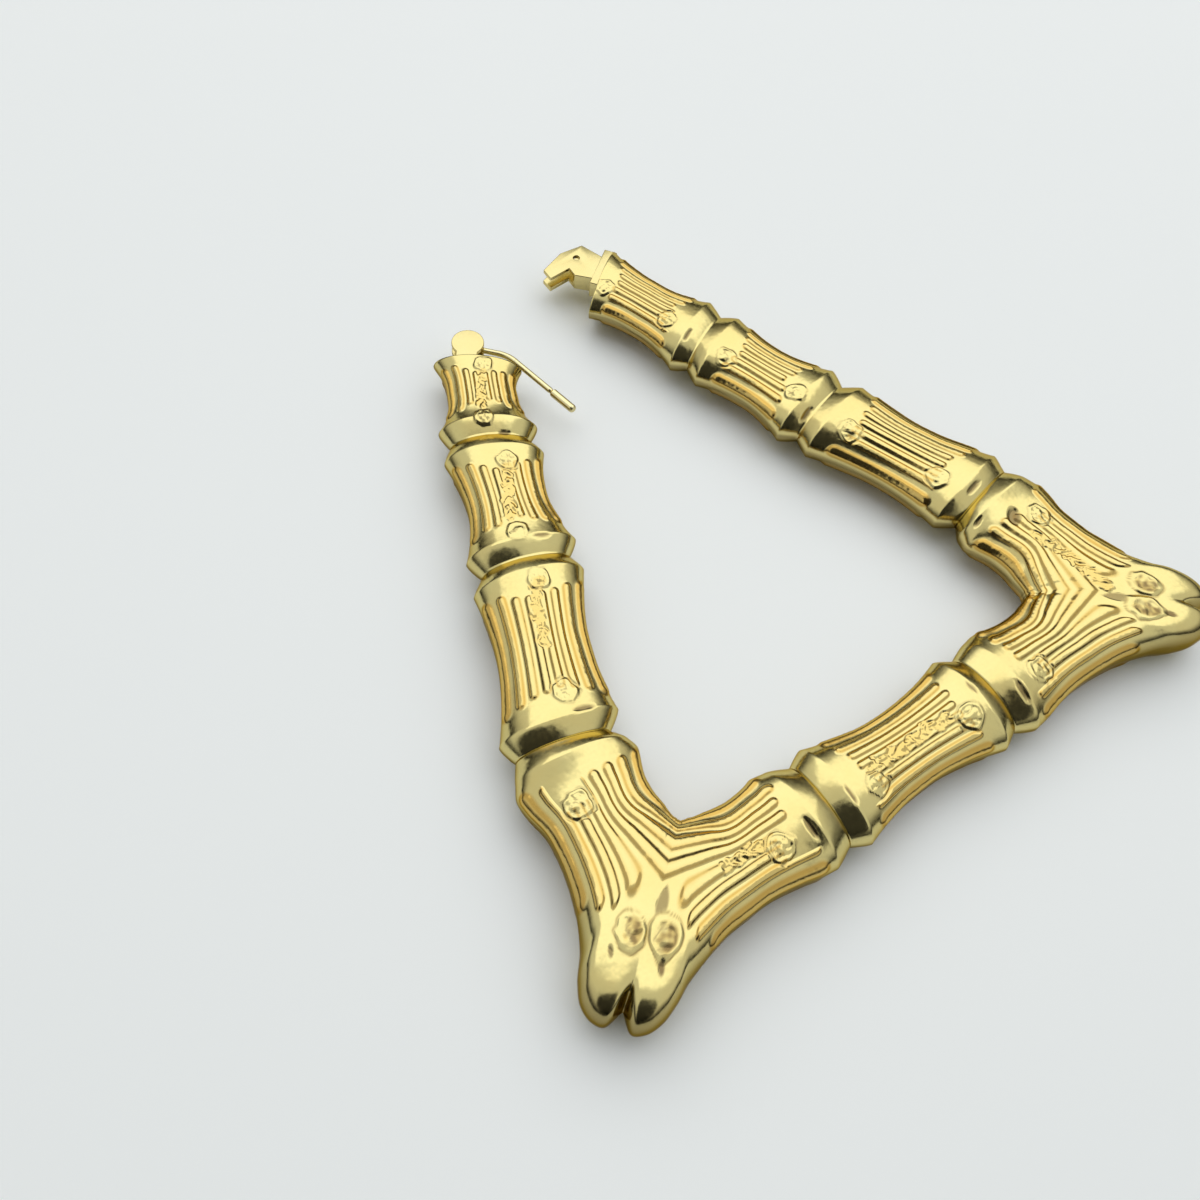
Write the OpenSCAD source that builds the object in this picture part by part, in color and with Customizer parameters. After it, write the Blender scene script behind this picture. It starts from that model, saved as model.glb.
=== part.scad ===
// Large triangular bamboo hoop earring, lying on its back face.
// The hoop stands in its own plane: X runs along the base, Y up to the open
// top, and Z is square to the hoop. A cross-section of the tube runs from an
// inner edge point to an outer edge point in that plane and bulges along Z.

/* [Hoop] */
// Half distance between the two joints of the base section
base_joint_x = 12.5; // [12:0.1:13]
// Half distance between the inner mitres of the lower corners
mitre_x = 26.6; // [25.5:0.1:27.5]
// Height of the inner mitres above the base's middle line
mitre_y = 6.9; // [6.6:0.1:7.2]
// Angle from the base to the line that halves a lower corner, in degrees
mitre_angle = 39.3; // [38:0.1:41]

/* [Tube] */
// Distance from a joint's groove to the crest on either side of it
crest_step = 2.3; // [2:0.1:2.6]
// Distance from a groove to the end of the smooth flare
flare_step = 3.8; // [3.5:0.1:4.2]
// Distance from a groove to the full height of the rods
rod_step = 5; // [4.6:0.1:5.6]
// Height of the raised rods
rod_height = 0.35; // [0.2:0.05:0.35]
// How fast a section narrows from its crest to its waist
waist_power = 1.9; // [1.5:0.1:2.4]

/* [Hinge] */
// Radius of the round ears
ear_r = 2.2; // [2:0.1:2.4]
// Thickness of each ear
ear_t = 0.55; // [0.4:0.05:0.7]
// Clear gap between the two ears
ear_gap = 1; // [0.9:0.05:1.2]
// Height of the ears' centre above the end cap
ear_rise = 3.9; // [3.7:0.1:4.2]
// Offset of the ears' centre towards the hoop's outer edge
ear_offset = 1.6; // [1.4:0.1:2]
// Width of the strip that the ears stand on
ear_neck_w = 2.8; // [2.4:0.1:3]
// Radius of the rivet
rivet_r = 0.5; // [0.4:0.05:0.6]
// Clearance round the rivet in the ears and in the wire's eye
rivet_clear = 0.04; // [0.03:0.01:0.08]

/* [Ear wire] */
// Radius of the wire
wire_r = 0.4; // [0.38:0.01:0.42]
// Radius of the thick tip
tip_r = 0.56; // [0.5:0.01:0.6]
// Radius of the wire at the bottom of the notch before the tip
neck_r = 0.3; // [0.25:0.01:0.35]
// Distance from the hinge to the far end of the tip
wire_reach = 17.8; // [17.4:0.1:17.8]
// Distance from the hinge to the bend, along the wire's chord
bend_x = 5.2; // [5:0.1:5.6]
// Height of the bend above the wire's chord
bend_y = 2.2; // [2.2:0.1:2.6]
// Radius of the bend
bend_r = 5; // [4:0.5:6]
// Length of the notch
neck_length = 0.6; // [0.5:0.1:0.8]
// Length of the thick tip
tip_length = 4; // [3.6:0.1:4.4]
// Radius of the flat eye round the rivet
eye_r = 1.3; // [1.2:0.05:1.5]
// Thickness of the eye, flattened a little from the wire
eye_t = 0.7; // [0.6:0.05:0.7]
// Direction of the open wire's chord in the hoop's plane, in degrees
wire_open = -69; // [-69:1:-64]

/* [Catch] */
// Clear width between the catch's two walls
channel_w = 1.4; // [1.3:0.05:1.5]
// Thickness of the catch's folded strip
strip_t = 0.6; // [0.5:0.05:0.7]
// Radius of the hole in the walls
catch_hole_r = 0.45; // [0.4:0.05:0.6]
// Length of the flap from the middle of the end cap to its outer edge
flap_length = 5.6; // [5:0.1:6]

/* [Hidden] */
$fn = 48;
gold = [0.83, 0.7, 0.36];
wire_gold = [0.86, 0.76, 0.45];
rivet_gold = [0.72, 0.6, 0.3];

// Joints of the right arm from the lower corner to the open end. Columns: x,
// y, direction of the arm's axis there, half width and half thickness of the
// groove, half width and half thickness of the crests beside it.
J_X = 0;
J_Y = 1;
J_AXIS = 2;
J_GROOVE_W = 3;
J_GROOVE_T = 4;
J_CREST_W = 5;
J_CREST_T = 6;
base_joint = [base_joint_x, 0, 0, 5.3, 2.9, 6.4, 3.8];
arm_joints = [
    [32.3, 20.9, 103, 5.6, 2.9, 7.1, 3.9],
    [23.3, 42.9, 106, 5.5, 2.9, 6.9, 3.9],
    [17.3, 61.0, 115, 5.1, 2.7, 6.4, 3.6]
];
// The open ends, in the same columns: the hinge's on the left arm, given here
// mirrored, and the catch's on the right arm
hinge_end = [12.0, 73.0, 125, 5.9, 3.0, 5.9, 3.0];
catch_end = [11.4, 77.6, 128, 6.2, 3.1, 6.2, 3.1];

// Waists of the sections between those joints: half width, half thickness
base_waist = [4.7, 2.9];
arm_waists = [[5.6, 3.1], [5.1, 3.0], [4.6, 2.8]];
// Where a section has its inner rings, as shares of its length
waist_shares = [0.3, 0.43, 0.57, 0.7];

// The two limbs of a lower corner, each from its groove to the line that halves
// the corner. The origin is the inner mitre, x runs out along that line and y
// to the limb's side. Columns: inner edge x and y, outer edge x and y.
IN_X = 0;
IN_Y = 1;
OUT_X = 2;
OUT_Y = 3;
base_limb = [
    [-8.4, 7.6, -0.4, 17.6],
    [-7.1, 6.2, 1.3, 15.8],
    [-6.0, 5.7, 2.3, 14.5],
    [-4.2, 4.6, 4.6, 12.0],
    [-2.6, 3.2, 7.6, 9.6],
    [-1.5, 2.0, 10.6, 7.6],
    [-0.9, 1.3, 13.3, 6.3],
    [-0.6, 0.8, 16.0, 5.2],
    [-0.3, 0.5, 18.4, 4.55],
    [-0.2, 0.3, 20.5, 3.65],
    [-0.1, 0.2, 21.8, 2.5],
    [-0.1, 0.1, 22.35, 1.15]
];
arm_limb = [
    [-7.7, 7.9, 1.4, 18.1],
    [-7.0, 6.5, 3.2, 17.3],
    [-5.8, 5.9, 4.2, 16.0],
    [-4.0, 5.0, 5.8, 13.2],
    [-2.3, 3.5, 8.3, 10.7],
    [-1.3, 2.2, 11.2, 8.6],
    [-0.7, 1.5, 13.7, 7.2],
    [-0.3, 0.9, 16.2, 6.2],
    [-0.2, 0.5, 19.3, 5.5],
    [-0.1, 0.3, 21.2, 4.6],
    [-0.1, 0.2, 22.3, 3.2],
    [-0.1, 0.1, 22.5, 2.0]
];
// The rings of both limbs. Columns: half thickness, share of the turn to the
// halving line, depth of the valley between the corner's two lobes.
RING_T = 0;
RING_TURN = 1;
RING_VALLEY = 2;
limb_rings = [
    [3.9, 0.00, 0],
    [3.5, 0.02, 0],
    [3.3, 0.05, 0],
    [3.2, 0.15, 0],
    [3.2, 0.30, 0],
    [3.3, 0.45, 0],
    [3.4, 0.60, 0],
    [3.5, 0.72, 0],
    [3.6, 0.85, 0],
    [3.6, 0.91, 0],
    [3.6, 0.95, 0],
    [3.6, 0.98, 0.1]
];
// The bottom of the notch between the lobes, in the corner's own x and y, and
// the half thickness and the valley there
notch = [20.5, 0.4];
notch_t = 3.5;
notch_valley = 0.9;
// Where the rods stop in a corner, as a share of the turn: the first four
// meet their mirror image, the outer ones end rounded off
rod_stops = [2, 2, 2, 2, 0.92, 0.82, 0.7, 0.6];
rod_count = len(rod_stops);
// Share of the turn over which a rod's end rises
rod_end = 0.12;
// The rods of a corner start past this share of the turn
rods_from = 0.04;
// Edges of the rods on the line that halves a corner, as shares of its length
mitre_rod_edges = [0, 0.045, 0.1, 0.23, 0.395, 0.56, 0.7, 0.85, 1];
// Where the valley between the lobes starts, as a share of a ring's width
valley_start = 0.84;
// How much blunter than an ellipse a corner's ring gets at its inner and outer
// ends, on the line that halves the corner
inner_blunt = 1;
outer_blunt = 4;

// Outline of the catch's walls and of the channel between them, from the
// centre of the catch's end cap, in the hoop's own x and y
catch_wall = [
    [-6.4, 3.7], [-6.4, 5.6], [-2.5, 7.2], [1.1, 7.0],
    [2.9, 2.1], [-0.2, -0.3], [-3.1, 2.5], [-3.0, 4.1]
];
catch_channel = [
    [-7.5, 2.8], [-2.8, 3.1], [-1.0, 1.3], [0.8, 2.0], [0.5, 8], [-7.5, 8]
];
catch_hole = [-1.0, 5.3];
// Height of the catch's base strip, and where it starts on the inner side
base_strip_t = 1.5;
base_strip_from = -1.5;
// Soldered pieces run this far into what carries them
sunk = 0.4;
// The bent stretch of the wire is this much thicker than the straight ones,
// which run this far into it
bend_swell = 0.02;
overlap = 0.05;
// Rounded end of the thick tip, as shares of its radius. Columns: distance
// from the axis, distance back from the end.
tip_round = [[1, 0.8], [0.9, 0.4], [0.7, 0.15], [0.4, 0]];

// Shares of a rod's width at which its crest begins and ends
rod_crest = [0.3, 0.7];
thickness = 2 * max([for (j = arm_joints) j[J_CREST_T]]);
low_y = min([for (c = base_limb) corner_point(c[OUT_X], -c[OUT_Y])[1]]);
high_y = catch_end[J_Y] + max([for (p = catch_wall) p[1]]);
shift = [0, -(low_y + high_y) / 2, thickness / 2];

// Centre of the hinge, above the left end cap
hinge_axis = 180 - hinge_end[J_AXIS];
hinge_out = [-sin(hinge_axis), cos(hinge_axis)];
hinge_up = [cos(hinge_axis), sin(hinge_axis)];
hinge_foot = [-hinge_end[J_X], hinge_end[J_Y]] + ear_offset * hinge_out;
hinge = hinge_foot + ear_rise * hinge_up;

function mix(a, b, t) = a + (b - a) * t;
// Height of the tube's cross-section at a share of its width
function arc_z(w, turn) = sqrt(max(0, 1 - pow(
    abs(2 * w - 1),
    2 + turn * (w > 0.5 ? outer_blunt : inner_blunt)
)));
function ramp(t) = t <= 0 ? 0 : t >= 1 ? 1 : t * t * (3 - 2 * t);

// A point of a corner, from the corner's own x and y to the hoop's plane
function corner_point(x, y) = [
    mitre_x + x * cos(mitre_angle) + y * sin(mitre_angle),
    mitre_y - x * sin(mitre_angle) + y * cos(mitre_angle)
];

// A ring holds: inner point, outer point, half thickness, turn, valley, rods
function straight_ring(c, axis, w, t, rods) = [
    c + w * [-sin(axis), cos(axis)],
    c - w * [-sin(axis), cos(axis)],
    t, 0, 0, rods
];
function limb(table, side) = [for (i = [0:len(table) - 1])
    let (edge = table[i], ring = limb_rings[i])
    [
        corner_point(edge[IN_X], side * edge[IN_Y]),
        corner_point(edge[OUT_X], side * edge[OUT_Y]),
        ring[RING_T], ring[RING_TURN], ring[RING_VALLEY], ring[RING_TURN] < rods_from ? 0 : 1
    ]
];

// Half width or thickness at a distance from the nearest groove
function waisted(crest, waist, s, half) = mix(
    waist, crest, pow(max(0, 1 - (s - crest_step) / (half - crest_step)), waist_power)
);

// Rings of one straight section from joint a to joint b. A capped section
// keeps its crest size up to the open end.
function section(a, b, waist, capped) =
    let (from = [a[J_X], a[J_Y]], to = [b[J_X], b[J_Y]], length = norm(to - from))
    let (end = capped ? 0 : crest_step)
    let (steps = concat(
        [crest_step, flare_step, rod_step],
        [for (w = waist_shares) w * length],
        [for (s = [rod_step, flare_step, crest_step]) length - s + crest_step - end]
    ))
    [for (i = [0:len(steps) - 1])
        let (s = steps[i], t = s / length, near = s < length / 2)
        let (joint = near ? a : b, d = near ? s : length - s + crest_step - end)
        straight_ring(
            mix(from, to, t), mix(a[J_AXIS], b[J_AXIS], t),
            waisted(joint[J_CREST_W], waist[0], d, length / 2),
            waisted(joint[J_CREST_T], waist[1], d, length / 2),
            (i < 2 || i > len(steps) - 3) ? 0 : 1
        )
    ];
function groove(j) = straight_ring(
    [j[J_X], j[J_Y]], j[J_AXIS], j[J_GROOVE_W], j[J_GROOVE_T], 0
);
function backwards(list) = [for (i = [len(list) - 1:-1:0]) list[i]];
function mirrored(ring) = [
    [-ring[0][0], ring[0][1]], [-ring[1][0], ring[1][1]],
    ring[2], ring[3], ring[4], ring[5]
];

base_left = [for (i = [0:len(base_joint) - 1]) i == J_X ? -base_joint_x : base_joint[i]];
notch_ring = [corner_point(0, 0), corner_point(notch[0], notch[1]), notch_t, 1, notch_valley, 1];
corner = concat(limb(base_limb, -1), [notch_ring], backwards(limb(arm_limb, 1)));
function arm(end) = concat(
    [groove(base_joint)], corner, [groove(arm_joints[0])],
    section(arm_joints[0], arm_joints[1], arm_waists[0], false),
    [groove(arm_joints[1])],
    section(arm_joints[1], arm_joints[2], arm_waists[1], false),
    [groove(arm_joints[2])],
    section(arm_joints[2], end, arm_waists[2], true)
);
rings = concat(
    backwards([for (r = arm(hinge_end)) mirrored(r)]),
    section(base_left, base_joint, base_waist, false),
    arm(catch_end)
);

// Points of one ring: shares of the width across the front, rod by rod
function rod_edge(i, turn) = mix(i / rod_count, mitre_rod_edges[i], turn);
function rod_lift(i, ring) =
    rod_height * ring[5] * ramp((rod_stops[i] - ring[3]) / rod_end);
function face_row(ring) = concat(
    [[0, 0]],
    [for (i = [0:rod_count - 1])
        let (a = rod_edge(i, ring[3]), b = rod_edge(i + 1, ring[3]))
        for (k = [0:2])
            k < 2 ? [mix(a, b, rod_crest[k]), rod_lift(i, ring)] : [b, 0]
    ]
);
function lobe_dip(w, valley) = 1 - valley * ramp((w - valley_start) / (1 - valley_start));
function ring_points(ring) =
    let (row = face_row(ring), last = len(row) - 1)
    let (front = [for (p = row)
        let (xy = mix(ring[0], ring[1], p[0]), rise = arc_z(p[0], ring[3]))
        [xy[0], xy[1], rise * (ring[2] * lobe_dip(p[0], ring[4]) + p[1])]
    ])
    concat(front, [for (i = [last - 1:-1:1]) [front[i][0], front[i][1], -front[i][2]]]);

module bamboo_tube() {
    points = [for (r = rings) ring_points(r)];
    n = len(points[0]);
    m = len(points);
    polyhedron(
        points = [for (ring = points) for (p = ring) p],
        faces = concat(
            [[for (i = [0:n - 1]) i]],
            [for (j = [0:m - 2]) for (i = [0:n - 1])
                let (a = j * n + i, b = j * n + (i + 1) % n)
                each [[a, a + n, b + n], [a, b + n, b]]
            ],
            [[for (i = [n - 1:-1:0]) (m - 1) * n + i]]
        )
    );
}

// Two round ears on a folded strip, soldered to the left end
module hinge_ears() {
    difference() {
        union() {
            for (side = [-1, 1]) {
                translate([hinge[0], hinge[1], side * (ear_gap + ear_t) / 2])
                    cylinder(r = ear_r, h = ear_t, center = true);
                translate([hinge_foot[0], hinge_foot[1], side * (ear_gap + ear_t) / 2])
                    rotate([0, 0, hinge_axis])
                        translate([(ear_rise - sunk) / 2, 0, 0])
                            cube([ear_rise + sunk, ear_neck_w, ear_t], center = true);
            }
            translate([hinge_foot[0], hinge_foot[1], 0])
                rotate([0, 0, hinge_axis])
                    cube([2 * sunk, ear_neck_w, ear_gap + ear_t], center = true);
        }
        translate([hinge[0], hinge[1], -thickness])
            cylinder(r = rivet_r + rivet_clear, h = 2 * thickness);
    }
}

// A folded strip on the right end: two walls that the wire's tip swings
// between, closed below and behind, on a base strip with a small flap
module catch() {
    outer_w = channel_w + 2 * strip_t;
    translate([catch_end[J_X], catch_end[J_Y], 0]) {
        difference() {
            linear_extrude(height = outer_w, center = true)
                polygon(catch_wall);
            linear_extrude(height = channel_w, center = true)
                polygon(catch_channel);
            translate([catch_hole[0], catch_hole[1], -outer_w])
                cylinder(r = catch_hole_r, h = 2 * outer_w);
        }
        rotate([0, 0, catch_end[J_AXIS] - 90])
            translate([base_strip_from, -sunk, -outer_w / 2])
                cube([flap_length - base_strip_from, sunk + base_strip_t, outer_w]);
    }
}

module bamboo_hoop() {
    color(gold)
        translate(shift)
            union() {
                bamboo_tube();
                hinge_ears();
                catch();
            }
}

// The wire's centre line in its own frame: hinge at the origin, chord along x
root_slope = atan2(bend_y, bend_x);
tip_slope = atan2(bend_y, wire_reach - bend_x);
turn_angle = root_slope + tip_slope;
tangent = bend_r * tan(turn_angle / 2);
root_length = norm([bend_x, bend_y]) - tangent;
leg_length = norm([wire_reach - bend_x, bend_y]);
neck_at = leg_length - tip_length - neck_length;

module ear_wire() {
    color(wire_gold)
        translate(shift)
            translate([hinge[0], hinge[1], 0])
                rotate([0, 0, wire_open])
                    difference() {
                        union() {
                            cylinder(r = eye_r, h = eye_t, center = true);
                            rotate([0, 0, root_slope])
                                rotate([0, 90, 0])
                                    cylinder(r = wire_r, h = root_length + overlap);
                            bend();
                            translate([bend_x, bend_y, 0])
                                rotate([0, 90, -tip_slope])
                                    snap_leg();
                        }
                        cylinder(r = rivet_r + rivet_clear, h = 4 * eye_t, center = true);
                    }
}

module bend() {
    rotate([0, 0, root_slope])
        translate([root_length, -bend_r, 0])
            rotate([0, 0, 90 - turn_angle])
                rotate_extrude(angle = turn_angle)
                    translate([bend_r, 0])
                        circle(r = wire_r + bend_swell);
}

// The straight leg along z, from the bend to the rounded tip, turned in one
module snap_leg() {
    rotate_extrude()
        polygon(concat(
            [
                [0, tangent - overlap],
                [wire_r, tangent - overlap],
                [wire_r, neck_at],
                [neck_r, neck_at + neck_length / 2],
                [tip_r, neck_at + neck_length]
            ],
            [for (p = tip_round) [tip_r * p[0], leg_length - tip_r * p[1]]],
            [[0, leg_length]]
        ));
}

module hinge_rivet() {
    color(rivet_gold)
        translate(shift)
            translate([hinge[0], hinge[1], 0])
                cylinder(r = rivet_r, h = ear_gap + 2 * ear_t, center = true);
}

bamboo_hoop();
ear_wire();
hinge_rivet();
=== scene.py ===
# %% [markdown]
# # A large bamboo hoop earring in gold-plated stamped metal
# The real earring is a triangular tube, pressed as two thin halves with the same
# pattern and soldered together. An ear wire swings on a riveted hinge at one open end
# and snaps into a folded catch at the other. This file dresses the measured solid:
# each cell says what a piece is, how it could be made, and why this way was chosen.
# Lengths are written in millimetres in the hoop's own plane and turned into metres
# only when a mesh is made.

import math

import bmesh
import bpy
import numpy as np
from mathutils import Matrix, Vector


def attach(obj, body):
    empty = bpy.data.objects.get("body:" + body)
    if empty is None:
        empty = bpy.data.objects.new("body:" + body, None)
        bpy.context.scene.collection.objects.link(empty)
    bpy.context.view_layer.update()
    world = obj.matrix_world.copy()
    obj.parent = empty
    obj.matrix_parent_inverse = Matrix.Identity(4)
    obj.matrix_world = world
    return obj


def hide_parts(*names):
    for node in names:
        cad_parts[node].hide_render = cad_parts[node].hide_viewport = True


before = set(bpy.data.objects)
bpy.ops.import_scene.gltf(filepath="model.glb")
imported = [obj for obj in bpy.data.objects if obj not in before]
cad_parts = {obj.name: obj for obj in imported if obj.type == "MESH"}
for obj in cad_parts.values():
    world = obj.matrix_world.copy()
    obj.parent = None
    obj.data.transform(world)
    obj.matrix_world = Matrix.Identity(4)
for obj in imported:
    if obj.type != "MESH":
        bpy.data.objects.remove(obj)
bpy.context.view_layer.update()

# %% [markdown]
# ## The hoop's plan
# The plan repeats the sizes of the measured solid: joints with a groove and a crest
# on either side, waists between them, and the two lower corners. Modelling by hand
# along a drawing would also work, but the same named sizes keep every piece where
# the solid is.

# %% The plan's tables
MM = 0.001
# Where the inner edges of a corner meet, and the direction of the line that halves it
MITRE, MITRE_ANGLE = np.array([26.6, 6.9]), math.radians(39.3)

# Each joint: centre, direction of the tube, then half width and half thickness of
# the groove and of the crests beside it
BASE_JOINT = {"at": (12.5, 0.0), "axis": 0, "groove": (5.3, 2.9), "crest": (6.4, 3.8)}
ARM_JOINTS = [
    {"at": (32.3, 20.9), "axis": 103, "groove": (5.6, 2.9), "crest": (7.1, 3.9)},
    {"at": (23.3, 42.9), "axis": 106, "groove": (5.5, 2.9), "crest": (6.9, 3.9)},
    {"at": (17.3, 61.0), "axis": 115, "groove": (5.1, 2.7), "crest": (6.4, 3.6)},
]
HINGE_END = {"at": (12.0, 73.0), "axis": 125, "groove": (5.9, 3.0), "crest": (5.9, 3.0)}
CATCH_END = {"at": (11.4, 77.6), "axis": 128, "groove": (6.2, 3.1), "crest": (6.2, 3.1)}
BASE_WAIST = (4.7, 2.9)
ARM_WAISTS = [(5.6, 3.1), (5.1, 3.0), (4.6, 2.8)]

# The limbs of a corner, in the frame of the line that halves it. Columns: inner
# edge x and y, outer edge x and y, half thickness, share of the turn
BASE_LIMB = np.array([
    (-8.4, 7.6, -0.4, 17.6, 3.9, 0.00), (-7.1, 6.2, 1.3, 15.8, 3.5, 0.02),
    (-6.0, 5.7, 2.3, 14.5, 3.3, 0.05), (-4.2, 4.6, 4.6, 12.0, 3.2, 0.15),
    (-2.6, 3.2, 7.6, 9.6, 3.2, 0.30), (-1.5, 2.0, 10.6, 7.6, 3.3, 0.45),
    (-0.9, 1.3, 13.3, 6.3, 3.4, 0.60), (-0.6, 0.8, 16.0, 5.2, 3.5, 0.72),
    (-0.3, 0.5, 18.4, 4.55, 3.6, 0.85), (-0.2, 0.3, 20.5, 3.65, 3.6, 0.91),
    (-0.1, 0.2, 21.8, 2.5, 3.6, 0.95), (-0.1, 0.1, 22.35, 1.15, 3.6, 0.98),
])
ARM_LIMB = np.array([
    (-7.7, 7.9, 1.4, 18.1, 3.9, 0.00), (-7.0, 6.5, 3.2, 17.3, 3.5, 0.02),
    (-5.8, 5.9, 4.2, 16.0, 3.3, 0.05), (-4.0, 5.0, 5.8, 13.2, 3.2, 0.15),
    (-2.3, 3.5, 8.3, 10.7, 3.2, 0.30), (-1.3, 2.2, 11.2, 8.6, 3.3, 0.45),
    (-0.7, 1.5, 13.7, 7.2, 3.4, 0.60), (-0.3, 0.9, 16.2, 6.2, 3.5, 0.72),
    (-0.2, 0.5, 19.3, 5.5, 3.6, 0.85), (-0.1, 0.3, 21.2, 4.6, 3.6, 0.91),
    (-0.1, 0.2, 22.3, 3.2, 3.6, 0.95), (-0.1, 0.1, 22.5, 2.0, 3.6, 0.98),
])

# Outline of the catch's walls, from the middle of the right arm's end
CATCH_WALL = [
    (-6.4, 3.7), (-6.4, 5.6), (-2.5, 7.2), (1.1, 7.0),
    (2.9, 2.1), (-0.2, -0.3), (-3.1, 2.5), (-3.0, 4.1),
]


def corner_point(x, y):
    """From a corner's own frame to the hoop's plane."""
    c, s = math.cos(MITRE_ANGLE), math.sin(MITRE_ANGLE)
    return np.stack([MITRE[0] + x * c + y * s, MITRE[1] - x * s + y * c], -1)


# The frame's origin is the bottom centre of the measured box
low_y = corner_point(BASE_LIMB[:, 2], -BASE_LIMB[:, 3])[:, 1].min()
high_y = CATCH_END["at"][1] + max(y for x, y in CATCH_WALL)
HALF_THICK = max(j["crest"][1] for j in ARM_JOINTS)
SHIFT = np.array([0, -(low_y + high_y) / 2, HALF_THICK])
print("plan to frame, mm:", SHIFT.round(4))

# %% [markdown]
# ## The bare tube
# Every ring of the tube runs from an inner edge point to an outer edge point and
# bulges up and down like a flat ellipse. A subdivided box model would need its
# creases placed by hand. Rings worked out from the plan give sharp crests and deep
# grooves exactly where the stamping has them.

# %% Rings of a straight section
# Distance between rings, and from a groove to the crest beside it, in mm
RING_STEP, CREST_STEP = 0.2, 2.3
# How full the band beside a groove is, and how fast the tube falls off to its waist
BAND_ROUND, WAIST_POWER = 1.2, 1.9
ROD_COUNT = 8


def ease(t):
    """From 0 to 1 with a soft start and a soft end."""
    t = np.clip(t, 0, 1)
    return t * t * (3 - 2 * t)


def steps(*marks):
    """Stations between the marks, about RING_STEP apart."""
    rows = [np.linspace(a, b, max(3, int(round((b - a) / RING_STEP))), endpoint=False)
            for a, b in zip(marks, marks[1:])]
    return np.concatenate(rows + [[marks[-1]]])


def swell(distance, half, groove, crest, waist):
    """Half width or thickness: groove, rounded band, crest, then down to the waist."""
    grown = 1 - (1 - np.clip(distance / CREST_STEP, 0, 1)) ** BAND_ROUND
    band = groove + (crest - groove) * grown
    fall = np.clip(1 - (distance - CREST_STEP) / (half - CREST_STEP), 0, 1) ** WAIST_POWER
    return np.where(distance < CREST_STEP, band, waist + (crest - waist) * fall)


def straight_rings(a, b, waist, capped=False):
    """Rings of the section from joint a to joint b, or to an open end."""
    start, end = np.array(a["at"]), np.array(b["at"])
    length = np.linalg.norm(end - start)
    s = steps(0, CREST_STEP, length) if capped else steps(
        0, CREST_STEP, length - CREST_STEP, length)
    near = s < length / 2
    back = length - s + (CREST_STEP if capped else 0)
    sizes = [np.where(near, swell(s, length / 2, a["groove"][k], a["crest"][k], waist[k]),
                      swell(back, length / 2, b["groove"][k], b["crest"][k], waist[k]))
             for k in (0, 1)]
    share = (s / length)[:, None]
    angle = np.radians(a["axis"] + (b["axis"] - a["axis"]) * share[:, 0])
    side = np.stack([-np.sin(angle), np.cos(angle)], -1) * sizes[0][:, None]
    centre = start + (end - start) * share
    even = np.tile(np.arange(ROD_COUNT + 1) / ROD_COUNT, (len(s), 1))
    return {"inner": centre + side, "outer": centre - side, "thick": sizes[1],
            "turn": np.zeros(len(s)), "cleft": np.zeros(len(s)), "edges": even,
            "along": s, "length": length}


base_rings = straight_rings(
    {**BASE_JOINT, "at": (-BASE_JOINT["at"][0], 0.0)}, BASE_JOINT, BASE_WAIST)
print("base section:", len(base_rings["along"]), "rings,",
      round(base_rings["length"], 1), "mm")

# %% [markdown]
# ## The lower corners
# A corner is pressed as one piece: its two limbs turn about the inner mitre, and the
# outer edge ends in two rounded lobes with a notch between them, like a hoof. The
# tables give the edges, and a smooth curve through them gives the rings between.

# %% Rings of a corner
# The notch: how far out, how far to each side its lobes start, and half thickness
NOTCH_AT, NOTCH_THICK = (20.5, 0.4), 3.5
# How far from the notch the cleft reaches along the outer edge, towards base and arm
CLEFT_BASE, CLEFT_ARM = 0.9, 1.9
# Where the rods meet on the mitre, as shares of the width
MITRE_ROD_EDGES = np.array([0, 0.045, 0.1, 0.23, 0.395, 0.56, 0.7, 0.85, 1])
# The inner rods run straight to the mitre. How many, from which share of the turn, and
# between which shares they leave their even places
CHEVRONS, CHEVRON_FROM, CHEVRON_BLEND = 4, 0.3, (0.1, 0.45)


def smooth_through(knots, table, at):
    """A smooth curve through the rows of a table, at the given distances."""
    gap = np.diff(knots)[:, None]
    slope = np.diff(table, axis=0) / gap
    middle = (slope[:-1] * gap[1:] + slope[1:] * gap[:-1]) / (gap[1:] + gap[:-1])
    tangent = np.concatenate([slope[:1], middle, slope[-1:]])
    i = np.clip(np.searchsorted(knots, at, side="right") - 1, 0, len(knots) - 2)
    h = gap[i]
    t = (at[:, None] - knots[i][:, None]) / h
    return ((2 * t**3 - 3 * t**2 + 1) * table[i] + (t**3 - 2 * t**2 + t) * h * tangent[i]
            + (3 * t**2 - 2 * t**3) * table[i + 1] + (t**3 - t**2) * h * tangent[i + 1])


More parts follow.
